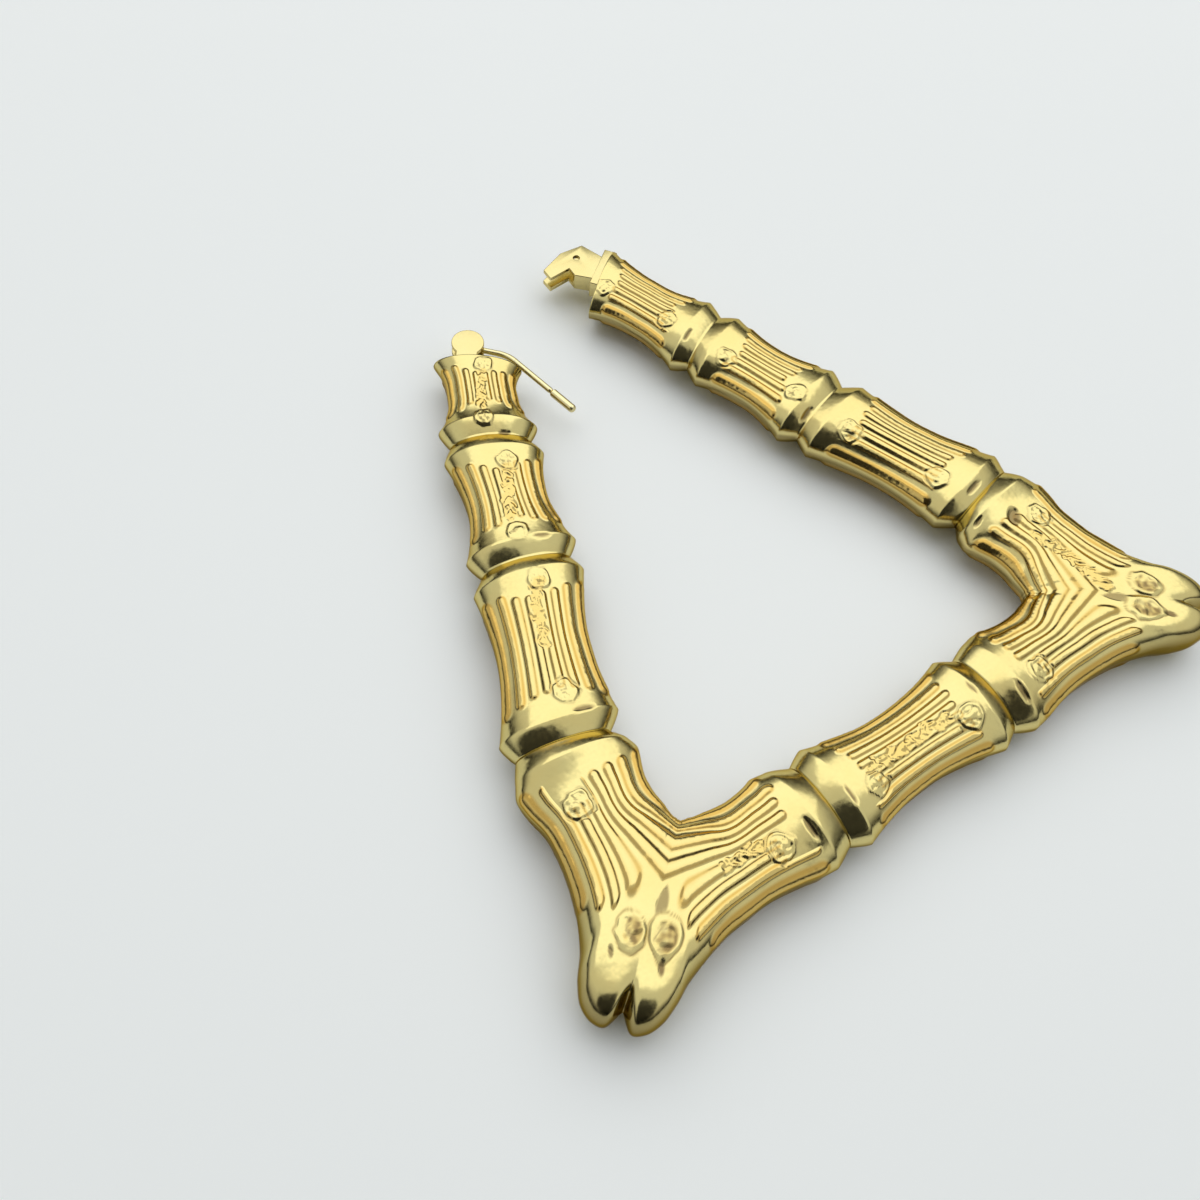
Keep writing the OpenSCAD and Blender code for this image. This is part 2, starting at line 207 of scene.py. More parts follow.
def limb_rings(table, side, joint):
    """One limb from its groove to the notch, as columns of ring values."""
    rows = np.vstack([table, (0, 0, NOTCH_AT[0], side * NOTCH_AT[1], NOTCH_THICK, 1)])
    inner = corner_point(rows[:, 0], side * rows[:, 1])
    outer = corner_point(rows[:, 2], side * rows[:, 3])
    rows = np.column_stack([inner, outer, rows[:, 4:]])
    reach = np.linalg.norm(np.diff(outer, axis=0), axis=1)
    knots = np.concatenate([[0], np.cumsum(reach)])
    flare = smooth_through(knots, rows, steps(*knots))
    # From the groove to the first crest, with the same rounded band
    angle = math.radians(joint["axis"])
    across = np.array([-math.sin(angle), math.cos(angle)])
    half, thick = joint["groove"]
    groove = np.concatenate([
        joint["at"] + across * half, joint["at"] - across * half, [thick, 0]])
    t = np.linspace(0, 1, int(CREST_STEP / RING_STEP) + 2)[:-1, None]
    grown = 1 - (1 - t) ** BAND_ROUND
    band = groove + (flare[0] - groove) * t
    band[:, 4:5] = groove[4] + (flare[0, 4] - groove[4]) * grown
    for k in (0, 2):
        swing = (flare[0, k:k + 2] - groove[k:k + 2]) @ across
        band[:, k:k + 2] += (grown - t) * swing * across
    return np.vstack([band, flare])


def cross(a, b):
    """Cross product of directions in the plane."""
    return a[..., 0] * b[..., 1] - a[..., 1] * b[..., 0]


def limb_edges(rows):
    """Shares of the width where the rods meet, ring by ring. The inner ones are the
    crossings of the rings with straight lines that end on the mitre."""
    even = np.arange(ROD_COUNT + 1) / ROD_COUNT
    turn = np.clip(rows[:, 5], 0, 1)
    bent = np.clip((turn - CHEVRON_FROM) / (1 - CHEVRON_FROM), 0, 1)[:, None]
    edges = even + (MITRE_ROD_EDGES - even) * bent
    first = np.searchsorted(turn, CHEVRON_FROM)
    inner, across = rows[:, 0:2], rows[:, 2:4] - rows[:, 0:2]
    on_line = ease((turn - CHEVRON_BLEND[0]) / (CHEVRON_BLEND[1] - CHEVRON_BLEND[0]))
    for k in range(1, CHEVRONS + 1):
        apex = inner[-1] + across[-1] * MITRE_ROD_EDGES[k]
        line = inner[first] + across[first] * even[k] - apex
        straight = cross(apex - inner, line) / cross(across, line)
        edges[:, k] = even[k] * (1 - on_line) + straight * on_line
    return edges


def corner_rings():
    """Rings of a whole corner, from the base's joint to the arm's."""
    one = limb_rings(BASE_LIMB, -1, BASE_JOINT)
    two = limb_rings(ARM_LIMB, 1, ARM_JOINTS[0])
    rows = np.vstack([one, two[::-1][1:]])
    edges = np.vstack([limb_edges(one), limb_edges(two)[::-1][1:]])
    notch = len(one) - 1
    outer = rows[:, 2:4]
    reach = np.where(np.arange(len(rows)) < notch, CLEFT_BASE, CLEFT_ARM)
    cleft = 1 - ease(np.linalg.norm(outer - outer[notch], axis=1) / reach)
    return {"inner": rows[:, 0:2], "outer": outer, "thick": rows[:, 4],
            "turn": np.clip(rows[:, 5], 0, 1), "cleft": cleft, "edges": edges,
            "notch": notch}


corner = corner_rings()
print("corner:", len(corner["thick"]), "rings, notch at ring", corner["notch"])

# %% [markdown]
# ## Grid of one stretch of tube
# The front of a stretch is a grid: rings along it, and columns across it that follow
# the edges of the eight rods. The back is the same stamping turned over, so it is the
# front mirrored through the middle plane.

# %% Columns across the tube
# Columns on each of the two outermost rods, and on each rod between them
RIM_COLUMNS, ROD_COLUMNS = 17, 15
# How much blunter than an ellipse the inner and outer ends of a ring get at the mitre
INNER_BLUNT, OUTER_BLUNT = 1, 4
# From which share of the width the cleft sinks, and by which share of the thickness
CLEFT_FROM, CLEFT_SINK = 0.88, 0.6
column_rod, column_x = [], []
for rod in range(ROD_COUNT):
    n = RIM_COLUMNS if rod in (0, ROD_COUNT - 1) else ROD_COLUMNS
    column_rod += [rod] * n
    column_x += [k / n for k in range(n)]
column_rod = np.array(column_rod + [ROD_COUNT - 1])
column_x = np.array(column_x + [1.0])


def bare_grid(rings):
    """Points of the front, and each column's share of the width."""
    edges = rings["edges"]
    x = column_x.copy()
    x[column_rod == 0] = x[column_rod == 0] ** 2
    last = column_rod == ROD_COUNT - 1
    x[last] = 1 - (1 - x[last]) ** 2
    w = edges[:, column_rod] + (edges[:, column_rod + 1] - edges[:, column_rod]) * x
    turn, cleft = rings["turn"][:, None], rings["cleft"][:, None]
    power = 2 + turn * np.where(w > 0.5, OUTER_BLUNT, INNER_BLUNT)
    rise = np.sqrt(np.clip(1 - np.abs(2 * w - 1) ** power, 0, 1))
    rise *= 1 - cleft * CLEFT_SINK * ease((w - CLEFT_FROM) / (1 - CLEFT_FROM))
    rise[:, 0] = rise[:, -1] = 0
    across = (rings["outer"] - rings["inner"])[:, None]
    xy = rings["inner"][:, None] + across * w[..., None]
    return np.concatenate([xy, (rings["thick"][:, None] * rise)[..., None]], -1), w


def grid_normals(P):
    """Outward normals of the front grid."""
    flip = np.array([1, 1, -1])
    wide = np.concatenate([P[:, 1:2] * flip, P, P[:, -2:-1] * flip], 1)
    n = np.cross(np.gradient(wide, axis=0), np.gradient(wide, axis=1))[:, 1:-1]
    n[:, 0, 2] = n[:, -1, 2] = 0
    n /= np.maximum(np.linalg.norm(n, axis=-1, keepdims=True), 1e-9)
    return n if n[:, n.shape[1] // 2, 2].mean() > 0 else -n


print("corner grid:", bare_grid(corner)[0].shape[:2])

# %% [markdown]
# ## Relief of the stamping
# The stamped pattern stands up from the bare tube: eight rods with rounded ends,
# grainy ribbons, round buds, dents, and a pair of ovals in each corner. A bump map
# would be quicker, but from the side it would show a smooth edge, so every form here
# moves the mesh itself.

# %% Small helpers for relief
# How many waves make up the grain, and how far their lengths vary
WAVES, WAVE_SPREAD = 18, (0.6, 1.7)


def grain(P, size, seed):
    """Uneven waves about size mm long, between roughly -1 and 1."""
    rng = np.random.default_rng(seed)
    way = rng.normal(size=(WAVES, 2))
    way /= np.linalg.norm(way, axis=1, keepdims=True)
    pitch = 2 * math.pi / (size * rng.uniform(*WAVE_SPREAD, WAVES))
    phase = rng.uniform(0, 2 * math.pi, WAVES)
    total = np.zeros(P.shape[:-1])
    for k in range(WAVES):
        path = P[..., 0] * way[k, 0] + P[..., 1] * way[k, 1]
        total += np.sin(path * pitch[k] + phase[k])
    return total / math.sqrt(WAVES)


def crumple(P, size, seed, crease_width):
    """Folds like crushed foil: high between the creases, and 1 along each crease."""
    fold = np.abs(grain(P, size, seed))
    return np.minimum(fold, 1), ease((crease_width - fold) / crease_width)


def bell(far, at, width):
    """A soft line: 1 at the given distance, less on both sides of it."""
    return np.exp(-((far - at) / width) ** 2)


def blend(old, new, share):
    """The old values where the share is 0, the new ones where it is 1."""
    return old * (1 - share) + share * new


def oval(P, centre, half_long, half_wide, angle):
    """Distance from the middle of an oval, 1 on its outline, and its own x and y."""
    a = math.radians(angle)
    dx, dy = P[..., 0] - centre[0], P[..., 1] - centre[1]
    u = (dx * math.cos(a) + dy * math.sin(a)) / half_long
    v = (dy * math.cos(a) - dx * math.sin(a)) / half_wide
    return np.sqrt(u * u + v * v), u, v


def along_line(P, points):
    """Distance to a bent line and share of the way along it."""
    best = np.full(P.shape[:-1], 1e9)
    where = np.zeros(P.shape[:-1])
    pts = np.array(points, float)
    for k in range(len(pts) - 1):
        d = pts[k + 1] - pts[k]
        t = np.clip(((P[..., :2] - pts[k]) @ d) / (d @ d), 0, 1)
        gap = np.linalg.norm(P[..., :2] - pts[k] - t[..., None] * d, axis=-1)
        closer = gap < best
        best = np.where(closer, gap, best)
        where = np.where(closer, (k + t) / (len(pts) - 1), where)
    return best, where


base_grid = bare_grid(base_rings)[0]
print("largest grain on the base:", round(grain(base_grid, 1.0, 0).max(), 2))

# %% [markdown]
# ## Rods
# In the die each rod is a long groove with round ends, so a pressed rod has a round top
# and two rounded ends. Its height is worked out from the distance to its middle line
# and to its ends. Rods drawn as separate curves would have to follow the tube's
# changing width, and the grid's columns do that already.

# %% Rods with rounded ends
ROD_HEIGHT = 0.26
# Half width of a rod's foot and width of its flank, as shares of half the pitch
ROD_FOOT, ROD_FLANK = 0.88, 0.6
# How far a rod's top falls towards its sides, and its shortest rounded end, in mm
ROD_CROWN, ROD_END = 0.5, 0.3
# Share of the outermost rods' width that stays smooth beside the seam
RIM_MARGIN = 0.16


def rod_columns(rod):
    """The columns of one rod, from its first edge to its last."""
    columns = np.where(column_rod == rod)[0]
    return np.append(columns, columns[-1] + 1) if rod < ROD_COUNT - 1 else columns


def path_length(P, rod):
    """Path length along the middle of a rod, ring by ring."""
    columns = rod_columns(rod)
    middle = P[:, columns[len(columns) // 2]]
    step = np.linalg.norm(np.diff(middle, axis=0), axis=1)
    return np.concatenate([[0], np.cumsum(step)])


def rod_relief(P, rods):
    """Height of the rods, from 0 to 1. Each rod: index, first and last path length in
    mm, first and last ring it may use."""
    height = np.zeros(P.shape[:2])
    for rod, first, last, ring_a, ring_b in rods:
        columns = rod_columns(rod)
        x = column_x[columns].copy()
        x[-1] = 1.0
        if rod == 0:
            x = (x - RIM_MARGIN) / (1 - RIM_MARGIN)
        if rod == ROD_COUNT - 1:
            x = x / (1 - RIM_MARGIN)
        path = path_length(P, rod)
        width = np.linalg.norm(P[:, columns[-1]] - P[:, columns[0]], axis=1) / 2
        inside = np.minimum(path - first, last - path)
        inside[:ring_a] = -1
        inside[ring_b + 1:] = -1
        across = np.abs(2 * x - 1)[None, :]
        end = 1 - np.clip(inside / np.maximum(width * ROD_FOOT, ROD_END), 0, 1)
        far = np.sqrt(across**2 + (end[:, None] * ROD_FOOT) ** 2)
        body = ease((ROD_FOOT - far) / ROD_FLANK) * (1 - ROD_CROWN * across**2)
        body[inside < 0] = 0
        height[:, columns] = np.maximum(height[:, columns], body)
    return height


print(ROD_COUNT, "rods,", ROD_HEIGHT, "mm high")

# %% [markdown]
# ## What the die pressed besides the rods
# The tables below name each form by its kind, where it sits in the hoop's plane, its
# half sizes and its direction. The same pattern repeats on each section, as the real
# die's did, with small differences between the sections.

# %% Tables of the pressed forms
# Round buds. Columns: x, y, half size
BUDS = [
    (-6.6, -1.9, 1.35), (7.7, -1.5, 1.55), (-20.0, -1.6, 1.6), (18.9, -1.6, 1.5),
    (-35.3, 13.7, 1.6), (34.6, 14.2, 1.5), (22.7, 37.1, 1.5), (27.6, 25.4, 1.4),
    (-29.3, 25.4, 1.45), (-24.0, 39.2, 1.3), (16.5, 55.7, 1.3), (20.4, 45.7, 1.3),
    (-17.9, 56.0, 1.3), (-22.5, 46.2, 1.3), (9.8, 74.9, 1.2), (13.7, 65.4, 1.2),
    (-12.1, 71.3, 1.2), (-16.8, 63.3, 1.2),
]
# Grainy ribbons: points along each, in the hoop's plane, and half width
RIBBONS = [
    ([(-6.0, -0.2), (-3.5, -0.3), (-0.2, -0.2), (2.9, 0.0), (5.2, -0.5)], 0.85),
    ([(-26.2, -0.2), (-23.6, -0.2), (-21.4, -0.5)], 0.8),
    ([(32.0, 12.2), (32.9, 9.1), (33.4, 5.4), (33.9, 1.9)], 0.9),
    ([(-24.3, 38.9), (-25.9, 36.6), (-27.9, 32.0)], 0.85),
    ([(-18.6, 54.9), (-20.3, 51.8), (-21.9, 48.6)], 0.9),
    ([(-13.0, 70.2), (-14.8, 67.4), (-16.0, 65.0)], 0.7),
]
# Dents on the smooth bands. Columns: x, y, half length, half width, direction, depth
DENTS = [
    (-16.1, -1.9, 1.5, 0.42, 92, 0.22), (15.0, -2.5, 1.6, 0.45, 87, 0.22),
    (-10.1, -1.3, 1.3, 0.3, 88, 0.12), (10.0, 1.0, 1.0, 0.25, 92, 0.1),
    (30.3, 21.7, 1.5, 0.4, 14, 0.2), (20.0, 42.5, 1.3, 0.35, 18, 0.2),
    (14.3, 61.5, 1.1, 0.3, 24, 0.18), (-28.6, 22.6, 1.4, 0.4, -14, 0.18),
    (-20.3, 44.2, 1.2, 0.3, -18, 0.15), (27.6, 17.7, 0.8, 0.3, 20, 0.15),
    (-41.1, -0.8, 0.7, 0.3, 60, 0.1), (31.7, 15.7, 1.4, 0.9, 50, 0.3),
    (-15.6, 60.3, 0.9, 0.3, -25, 0.15),
]


print(len(BUDS), "buds,", len(RIBBONS), "ribbons,", len(DENTS), "dents")

# %% [markdown]
# ## No stubs beside the buds
# Where a bud sits near the end of a rod, the real stamping has no stub between it and
# the smooth band. Taking such stubs away afterwards is simpler than giving each rod
# ends of its own.

# %% Rods stop at the buds
# Longest stub that is taken away, and how near a bud's middle the grid must come, mm
STUB, BUD_ON_GRID = 4.2, 0.5
# How wide a bud acts, as a share of its own size
BUD_ACTS = 1.1


def stop_at_buds(P, rods):
    """Take away the short stubs of rods between a bud and the band beside it."""
    for x, y, r in BUDS:
        gap = np.hypot(P[..., 0] - x, P[..., 1] - y)
        row, column = np.unravel_index(gap.argmin(), gap.shape)
        if gap[row, column] > BUD_ON_GRID:
            continue
        for k in np.where(gap[row] < r * BUD_ACTS)[0]:
            for way in (-1, 1):
                end = row
                while 0 < end < len(P) - 1 and rods[end + way, k] > 0:
                    end += way
                if np.linalg.norm(P[end, k] - P[row, k]) < STUB:
                    rods[min(row, end):max(row, end) + 1, k] = 0
    return rods


print("stubs up to", STUB, "mm go")

# %% [markdown]
# ## Ribbons
# Between the rods of some sections runs a grainy ribbon, like the scar of a leaf. It is
# a slanted hatching with grain laid over it, inside a ragged edge. Carving each mark
# would look the same at this size and take far longer.

# %% Grainy ribbons
# Mean height, height of the hatching and of the grain, in mm
RIBBON_HIGH, HATCH_HIGH, GRAIN_HIGH = 0.13, 0.065, 0.06
# Pitch of the hatching, its waviness and that wave's length, and the grain's length
HATCH, HATCH_WAVY, HATCH_WAVE, RIBBON_GRAIN = 1.05, 1.6, 1.6, 0.9
# How ragged the edge is, the length of that, and how soft the edge is
RAGGED, RAGGED_LONG, RIBBON_EDGE = 0.3, 1.3, 0.3


def press_ribbons(P, h):
    """The height with the ribbons in it, and where they are."""
    ribbon = np.zeros(h.shape)
    for k, (points, half) in enumerate(RIBBONS):
        gap, way = along_line(P, points)
        if gap.min() > half + 1:
            continue
        edge = half * (1 + RAGGED * grain(P, RAGGED_LONG, 50 + k))
        on = ease((edge - gap) / RIBBON_EDGE)
        length = np.linalg.norm(np.diff(np.array(points), axis=0), axis=1).sum()
        wavy = HATCH_WAVY * grain(P, HATCH_WAVE, 80 + k)
        hatch = np.sin(2 * math.pi * (way * length - gap) / HATCH + wavy)
        grains = GRAIN_HIGH * grain(P, RIBBON_GRAIN, 90 + k)
        h = blend(h, np.maximum(RIBBON_HIGH + HATCH_HIGH * hatch + grains, 0), on)
        ribbon = np.maximum(ribbon, on)
    return h, ribbon


print("ribbons hatched every", HATCH, "mm")

# %% [markdown]
# ## Buds and dents
# A bud is a low dome with a rim, a facet across it and fine folds, and it is brown in the
# creases of its folds and in a line round it. A dent is a soft hollow in a smooth band.
# Both are worked out from the distance to their middles, 1 being the outline.

# %% Buds and dents
# Heights of a bud's rim, dome, facet and folds, in mm, and how brown it gets
BUD_RIM, BUD_DOME, BUD_FACET, BUD_FOLD, BUD_BROWN = 0.14, 0.16, 0.09, 0.08, 0.6
# Where the rim and the brown line lie, and how far out a bud clears the rods. Here and
# for the ovals, the widths of lines and soft edges stand beside them, as shares too
BUD_RIM_AT, BUD_LINE_AT, BUD_CLEAR_AT = 0.88, 1.1, 1.28
# How uneven a bud's outline is, the lengths of that and of its folds, and the width
# of a crease
BUD_UNEVEN, BUD_WAVE, BUD_CRUMPLE, BUD_CREASE = 0.08, 1.5, 1.4, 0.2
# How brown the line round a bud or an oval is, and a dent
LINE_BROWN, DENT_BROWN = 0.6, 0.8


def press_buds(P, h, dent):
    """The height with the buds in it, and how browned each spot is."""
    for k, (x, y, r) in enumerate(BUDS):
        far, u, v = oval(P, (x, y), r, r, 0)
        if far.min() > 1.6:
            continue
        far = far * (1 + BUD_UNEVEN * grain(P, BUD_WAVE, 120 + k))
        clear = ease((BUD_CLEAR_AT - far) / 0.22)
        inside = ease((0.9 - far) / 0.3)
        fold, crease = crumple(P, BUD_CRUMPLE, 140 + k, BUD_CREASE)
        # The facet crosses each bud in one of three directions
        slant = math.radians(40 + 50 * (k % 3))
        line = u * math.cos(slant) + v * math.sin(slant)
        form = (BUD_RIM * bell(far, BUD_RIM_AT, 0.14)
                + BUD_DOME * np.sqrt(np.clip(1 - far**2, 0, 1))
                + BUD_FACET * bell(line, 0, 0.25) * ease((0.7 - far) / 0.25)
                + BUD_FOLD * inside * (fold - 0.5))
        spot = np.maximum(crease * inside, LINE_BROWN * bell(far, BUD_LINE_AT, 0.08))
        h = blend(h, form, clear)
        dent = blend(dent, BUD_BROWN * spot, clear)
    return h, dent


def hollow(far, h, dent, depth, brown, reach=1.15):
    """One soft hollow, deeper and browner towards its middle."""
    dip = ease((reach - far) / 0.6)
    return h - depth * dip, np.maximum(dent, brown * dip)


def pressed_forms(P, rods):
    """Height of everything on one stretch, how browned it is, and where ribbons lie."""
    h, ribbon = press_ribbons(P, rods * ROD_HEIGHT)
    h, dent = press_buds(P, h, np.zeros(h.shape))
    for x, y, long, wide, angle, depth in DENTS:
        far = oval(P, (x, y), long, wide, angle)[0]
        if far.min() < 2:
            h, dent = hollow(far, h, dent, depth, DENT_BROWN)
    return h, dent, ribbon


print("buds rise", BUD_DOME + BUD_FACET, "mm at most in the middle")

# %% [markdown]
# ## The ovals
# Towards each lower tip the rods give way to two ovals, side by side like eyes. Each has
# a raised rim, a fine ditch round it and a crumpled floor, browned and made amber with
# painted shade so that its crumpling reads. Everything is worked out from the distance to
# the oval's middle, as for the buds.

# %% Ovals
# Ovals. Columns: x out from the mitre, y to the arm's side, half length, half width,
# tilt, how far the oval narrows to a drop
EYES = [(13.6, 1.85, 2.0, 1.5, -17, 0.1), (13.2, -1.6, 2.35, 1.65, -7, 0.45)]
# Heights in mm: rim, ditch, floor and crumpling. Then the folds' size and crease width
EYE_RIM, EYE_DITCH, EYE_FLOOR, EYE_CRUMPLE = 0.15, 0.04, 0.03, 0.13
EYE_FOLD, EYE_CREASE = 2.3, 0.3
# Distances from an oval's middle: rim, ditch, brown line, and where rods are cleared
EYE_RIM_AT, EYE_DITCH_AT, EYE_LINE_AT, EYE_CLEAR_AT = 0.86, 1.14, 1.13, 1.27
# How much lower rim and ditch are at the outer end, and how uneven the outline is
EYE_FLATTER, EYE_UNEVEN, EYE_WAVE = 0.55, 0.05, 2.0
# Painted shade on the floor, in brown: its rough side, its patches and their size, the
# most there is, and its creases. Then how much amber shade is painted on the floor
ROUGH_SIDE_SHADE, PATCHY, PATCH_LONG, MOST_SHADE, CREASE_SHADE = 0.7, 0.35, 0.9, 0.85, 0.6
EYE_AMBER_SHADE = 0.9


def eye_form(P, u, v, drop, seed):
    """How far one oval clears what is under it, its height, and its brown and amber
    painted shade. A drop narrows to a point at its outer end."""
    v = v / (1 - drop * ease((u - 0.05) / 1.1))
    far = np.sqrt(u * u + v * v) * (1 + EYE_UNEVEN * grain(P, EYE_WAVE, seed))
    clear = ease((EYE_CLEAR_AT - far) / 0.2)
    flat_end = 1 - EYE_FLATTER * ease((u - 0.45) / 0.5)
    rim = EYE_RIM * bell(far, EYE_RIM_AT, 0.18) * flat_end
    ditch = EYE_DITCH * bell(far, EYE_DITCH_AT, 0.1) * flat_end
    inside = ease((EYE_RIM_AT - far) / 0.25)
    fold, crease = crumple(P, EYE_FOLD, seed + 7, EYE_CREASE)
    # The side towards the base is rougher and gets more brown painted shade
    rough = 0.5 + 0.5 * np.tanh(4 * (0.2 - v + 0.3 * u))
    floor = EYE_FLOOR + EYE_CRUMPLE * fold * (0.5 + 0.5 * rough)
    patchy = ROUGH_SIDE_SHADE * rough + PATCHY * grain(P, PATCH_LONG, seed + 5)
    # Brown painted shade in the floor's creases and patches, and amber painted shade
    # across it
    brown = inside * np.maximum(CREASE_SHADE * crease, np.clip(patchy, 0, MOST_SHADE))
    amber = EYE_AMBER_SHADE * inside * ease(0.6 - v + 0.3 * grain(P, 1.2, seed + 3))
    line = LINE_BROWN * bell(far, EYE_LINE_AT, 0.08)
    return (clear, rim - ditch + inside * floor,
            np.maximum(brown, line), np.maximum(amber, line))


print("ovals at", [eye[:2] for eye in EYES], "from the mitre, mm")

# %% [markdown]
# ## The corner's own forms
# Besides the ovals, a corner has a shallow pointed dent above them and a small one
# below. All of these are placed in the corner's own frame, so both corners share them.

# %% Forms of a corner
# Pointed dent: where it starts, its length, sideways place, width, depth and browning
POINT_FROM, POINT_LONG, POINT_SIDE, POINT_WIDE = 7.6, 4.0, -0.45, 1.87
POINT_DEEP, POINT_BROWN = 0.1, 0.7
# Small dent below the drop: middle, half length, half width, tilt. Then its depth,
# browning and reach
TIP_DENT = ((16.1, -2.0), 1.0, 0.4, -12)
TIP_DENT_LOOK = (0.1, 0.9, 1.1)


def corner_frame(P, mirrored):
    """From the hoop's plane to a corner's own frame."""
    x = -P[..., 0] if mirrored else P[..., 0]
    c, s = math.cos(MITRE_ANGLE), math.sin(MITRE_ANGLE)
    dx, dy = x - MITRE[0], P[..., 1] - MITRE[1]
    return np.stack([dx * c - dy * s, dx * s + dy * c], -1)


def corner_forms(P, h, dent, ribbon, mirrored):
    """Height, browning and amber of a corner with its ovals and pointed dents; in the
    ovals the brown and amber are painted shade.
    """
    Q = corner_frame(P, mirrored)
    seed = 300 if mirrored else 340
    way = (Q[..., 0] - POINT_FROM) / POINT_LONG
    half = POINT_WIDE * np.clip(way, 0, 1) * np.clip(1.25 - way, 0, 1)
    inside = (ease((half - np.abs(Q[..., 1] - POINT_SIDE)) / 0.3)
              * ease(way / 0.15) * ease((1 - way) / 0.2))
    h = blend(h, -POINT_DEEP, inside)
    dent = np.maximum(dent, POINT_BROWN * inside)
    for k, (x, y, long, wide, tilt, drop) in enumerate(EYES):
        u, v = oval(Q, (x, y), long, wide, tilt)[1:]
        clear, height, brown, amber = eye_form(P, u, v, drop, seed + 10 * k)
        h = blend(h, height, clear)
        # The ovals' brown painted shade goes into the brown value, and their amber
        # painted shade into the ribbon value
        dent = blend(dent, brown, clear)
        ribbon = blend(ribbon, amber, clear)
    h, dent = hollow(oval(Q, *TIP_DENT)[0], h, dent, *TIP_DENT_LOOK)
    return h, dent, ribbon


print("mitre in a corner's own frame:", corner_frame(MITRE, False))

# %% [markdown]
# ## Unevenness, browning and painted shade
# Thin plate is never quite even, so the front gets shallow waves and fine lumps, and
# the rods a little more. The relief dies out on the seam, where the halves are soldered.
# Three values are kept for each point, for the finish to use: how brown it is, which
# holds browning and also the painted shade along the seam, under the tips, on the rods'
# flanks and in the ovals; how much it is the flank of a rod, where a deeper amber is
# painted as reflection; and how amber it looks, which in the ovals is painted shade.

# %% Raised front, its browning and its painted shade
# Height and length of the waves, the lumps and the rods' own lumps, in mm
WAVE_HIGH, WAVE_LONG, LUMP_HIGH, LUMP_LONG = 0.035, 6.0, 0.003, 1.1
ROD_LUMP_HIGH, ROD_LUMP_LONG = 0.008, 0.6
# Over how many columns or rings the relief dies out at the edges of a stretch
CALM_EDGE = 4
# How amber the rods look, from the one at the tube's edge inwards, and the ribbons
AMBER_RODS, RIBBON_AMBER = np.array([0.6, 0.3, 0.1, 0.05]), 0.45
# How much painted shade browns the flanks of the rods, standing for the shade between
# them
FLANK_SHADE = 0.25
# How much painted shade browns the tube at its seam, there and under the tips, standing
# for the darker reflection of the shaded floor where the tube lies, and how far down and
# up this reaches, in mm
SEAM_SHADE, TIP_SHADE = 0.6, 0.2
SEAM_BELOW, SEAM_ABOVE, TIP_ABOVE = 3.2, 0.7, 4.6
# How soon it is full on the way down, and where across the tube a tip begins
SEAM_FIRM, TIP_FROM, TIP_BLEND = 1.5, 0.84, 0.1


def uneven(P, h, relief, seed):
    """The height with the plate's unevenness, dying out at the edges of the grid."""
    waves = WAVE_HIGH * grain(P, WAVE_LONG, seed)
    h = h + (waves + LUMP_HIGH * grain(P, LUMP_LONG, seed + 1))
    h = h + ROD_LUMP_HIGH * relief * grain(P, ROD_LUMP_LONG, seed + 2)
    for axis in (1, 0):
        count = np.arange(P.shape[axis])
        calm = ease(np.minimum(count, count[::-1]) / CALM_EDGE)
        h = h * np.expand_dims(calm, 1 - axis)
    return h


def raised(P, h):
    """The front with its relief. Its rims lie on the middle plane."""
    front = P + grid_normals(P) * h[..., None]
    front[..., 2] = np.minimum(front[..., 2], HALF_THICK)
    front[:, 0, 2] = front[:, -1, 2] = 0
    return front


def front_marks_and_shade(relief, dent, ribbon):
    """The three values of each point of the front."""
    flank = np.clip(4 * relief * (1 - relief), 0, 1) * (1 - ribbon)
    edge_rod = np.minimum(column_rod, ROD_COUNT - 1 - column_rod)
    rod_amber = np.clip(relief * 1.5, 0, 1) * AMBER_RODS[edge_rod]
    # The brown value also takes painted shade on the rods' flanks
    return {"dent": np.maximum(dent, FLANK_SHADE * flank), "flank": flank,
            "amber": np.maximum(rod_amber, RIBBON_AMBER * ribbon)}


def seam_shade(z, across, turn):
    """Painted shade at each point along the seam and under the tips, from its height and
    place on the ring.
    """
    tip = turn * ease((across - TIP_FROM) / TIP_BLEND)
    below = ease(np.clip(1 + z / SEAM_BELOW, 0, 1) * SEAM_FIRM)
    above = 1 - ease(z / (SEAM_ABOVE + TIP_ABOVE * tip))
    return (SEAM_SHADE + TIP_SHADE * tip) * np.where(z < 0, below, above)


# How far the seam's painted shade reaches up and down
print("seam dulled", SEAM_ABOVE, "mm up and", SEAM_BELOW, "mm down")

# %% [markdown]
# ## Turning a stretch into a mesh
# Rings and columns make quads, the back mirrors the front, and each end is closed by
# a cap. Where two stretches meet, the caps hide at the bottom of a groove. At the
# tube's open ends the cap is the real one: a thin plate set just inside the rim.

# %% Mesh from a grid
# Rings of a cap plate: size as a share of the rim, and how far inside it, in mm
CAP_PLATE = [(0.985, -0.04), (0.95, -0.04), (0.925, 0.1), (0.9, 0.22), (0.6, 0.2),
             (0.3, 0.16)]


def add_piece(name, data):
    """A new object in the scene."""
    piece = bpy.data.objects.new(name, data)
    bpy.context.scene.collection.objects.link(piece)
    return piece


def all_round(front):
    """Values of the front, and the same ones for the back."""
    return np.concatenate([front, front[:, -2:0:-1]], 1)


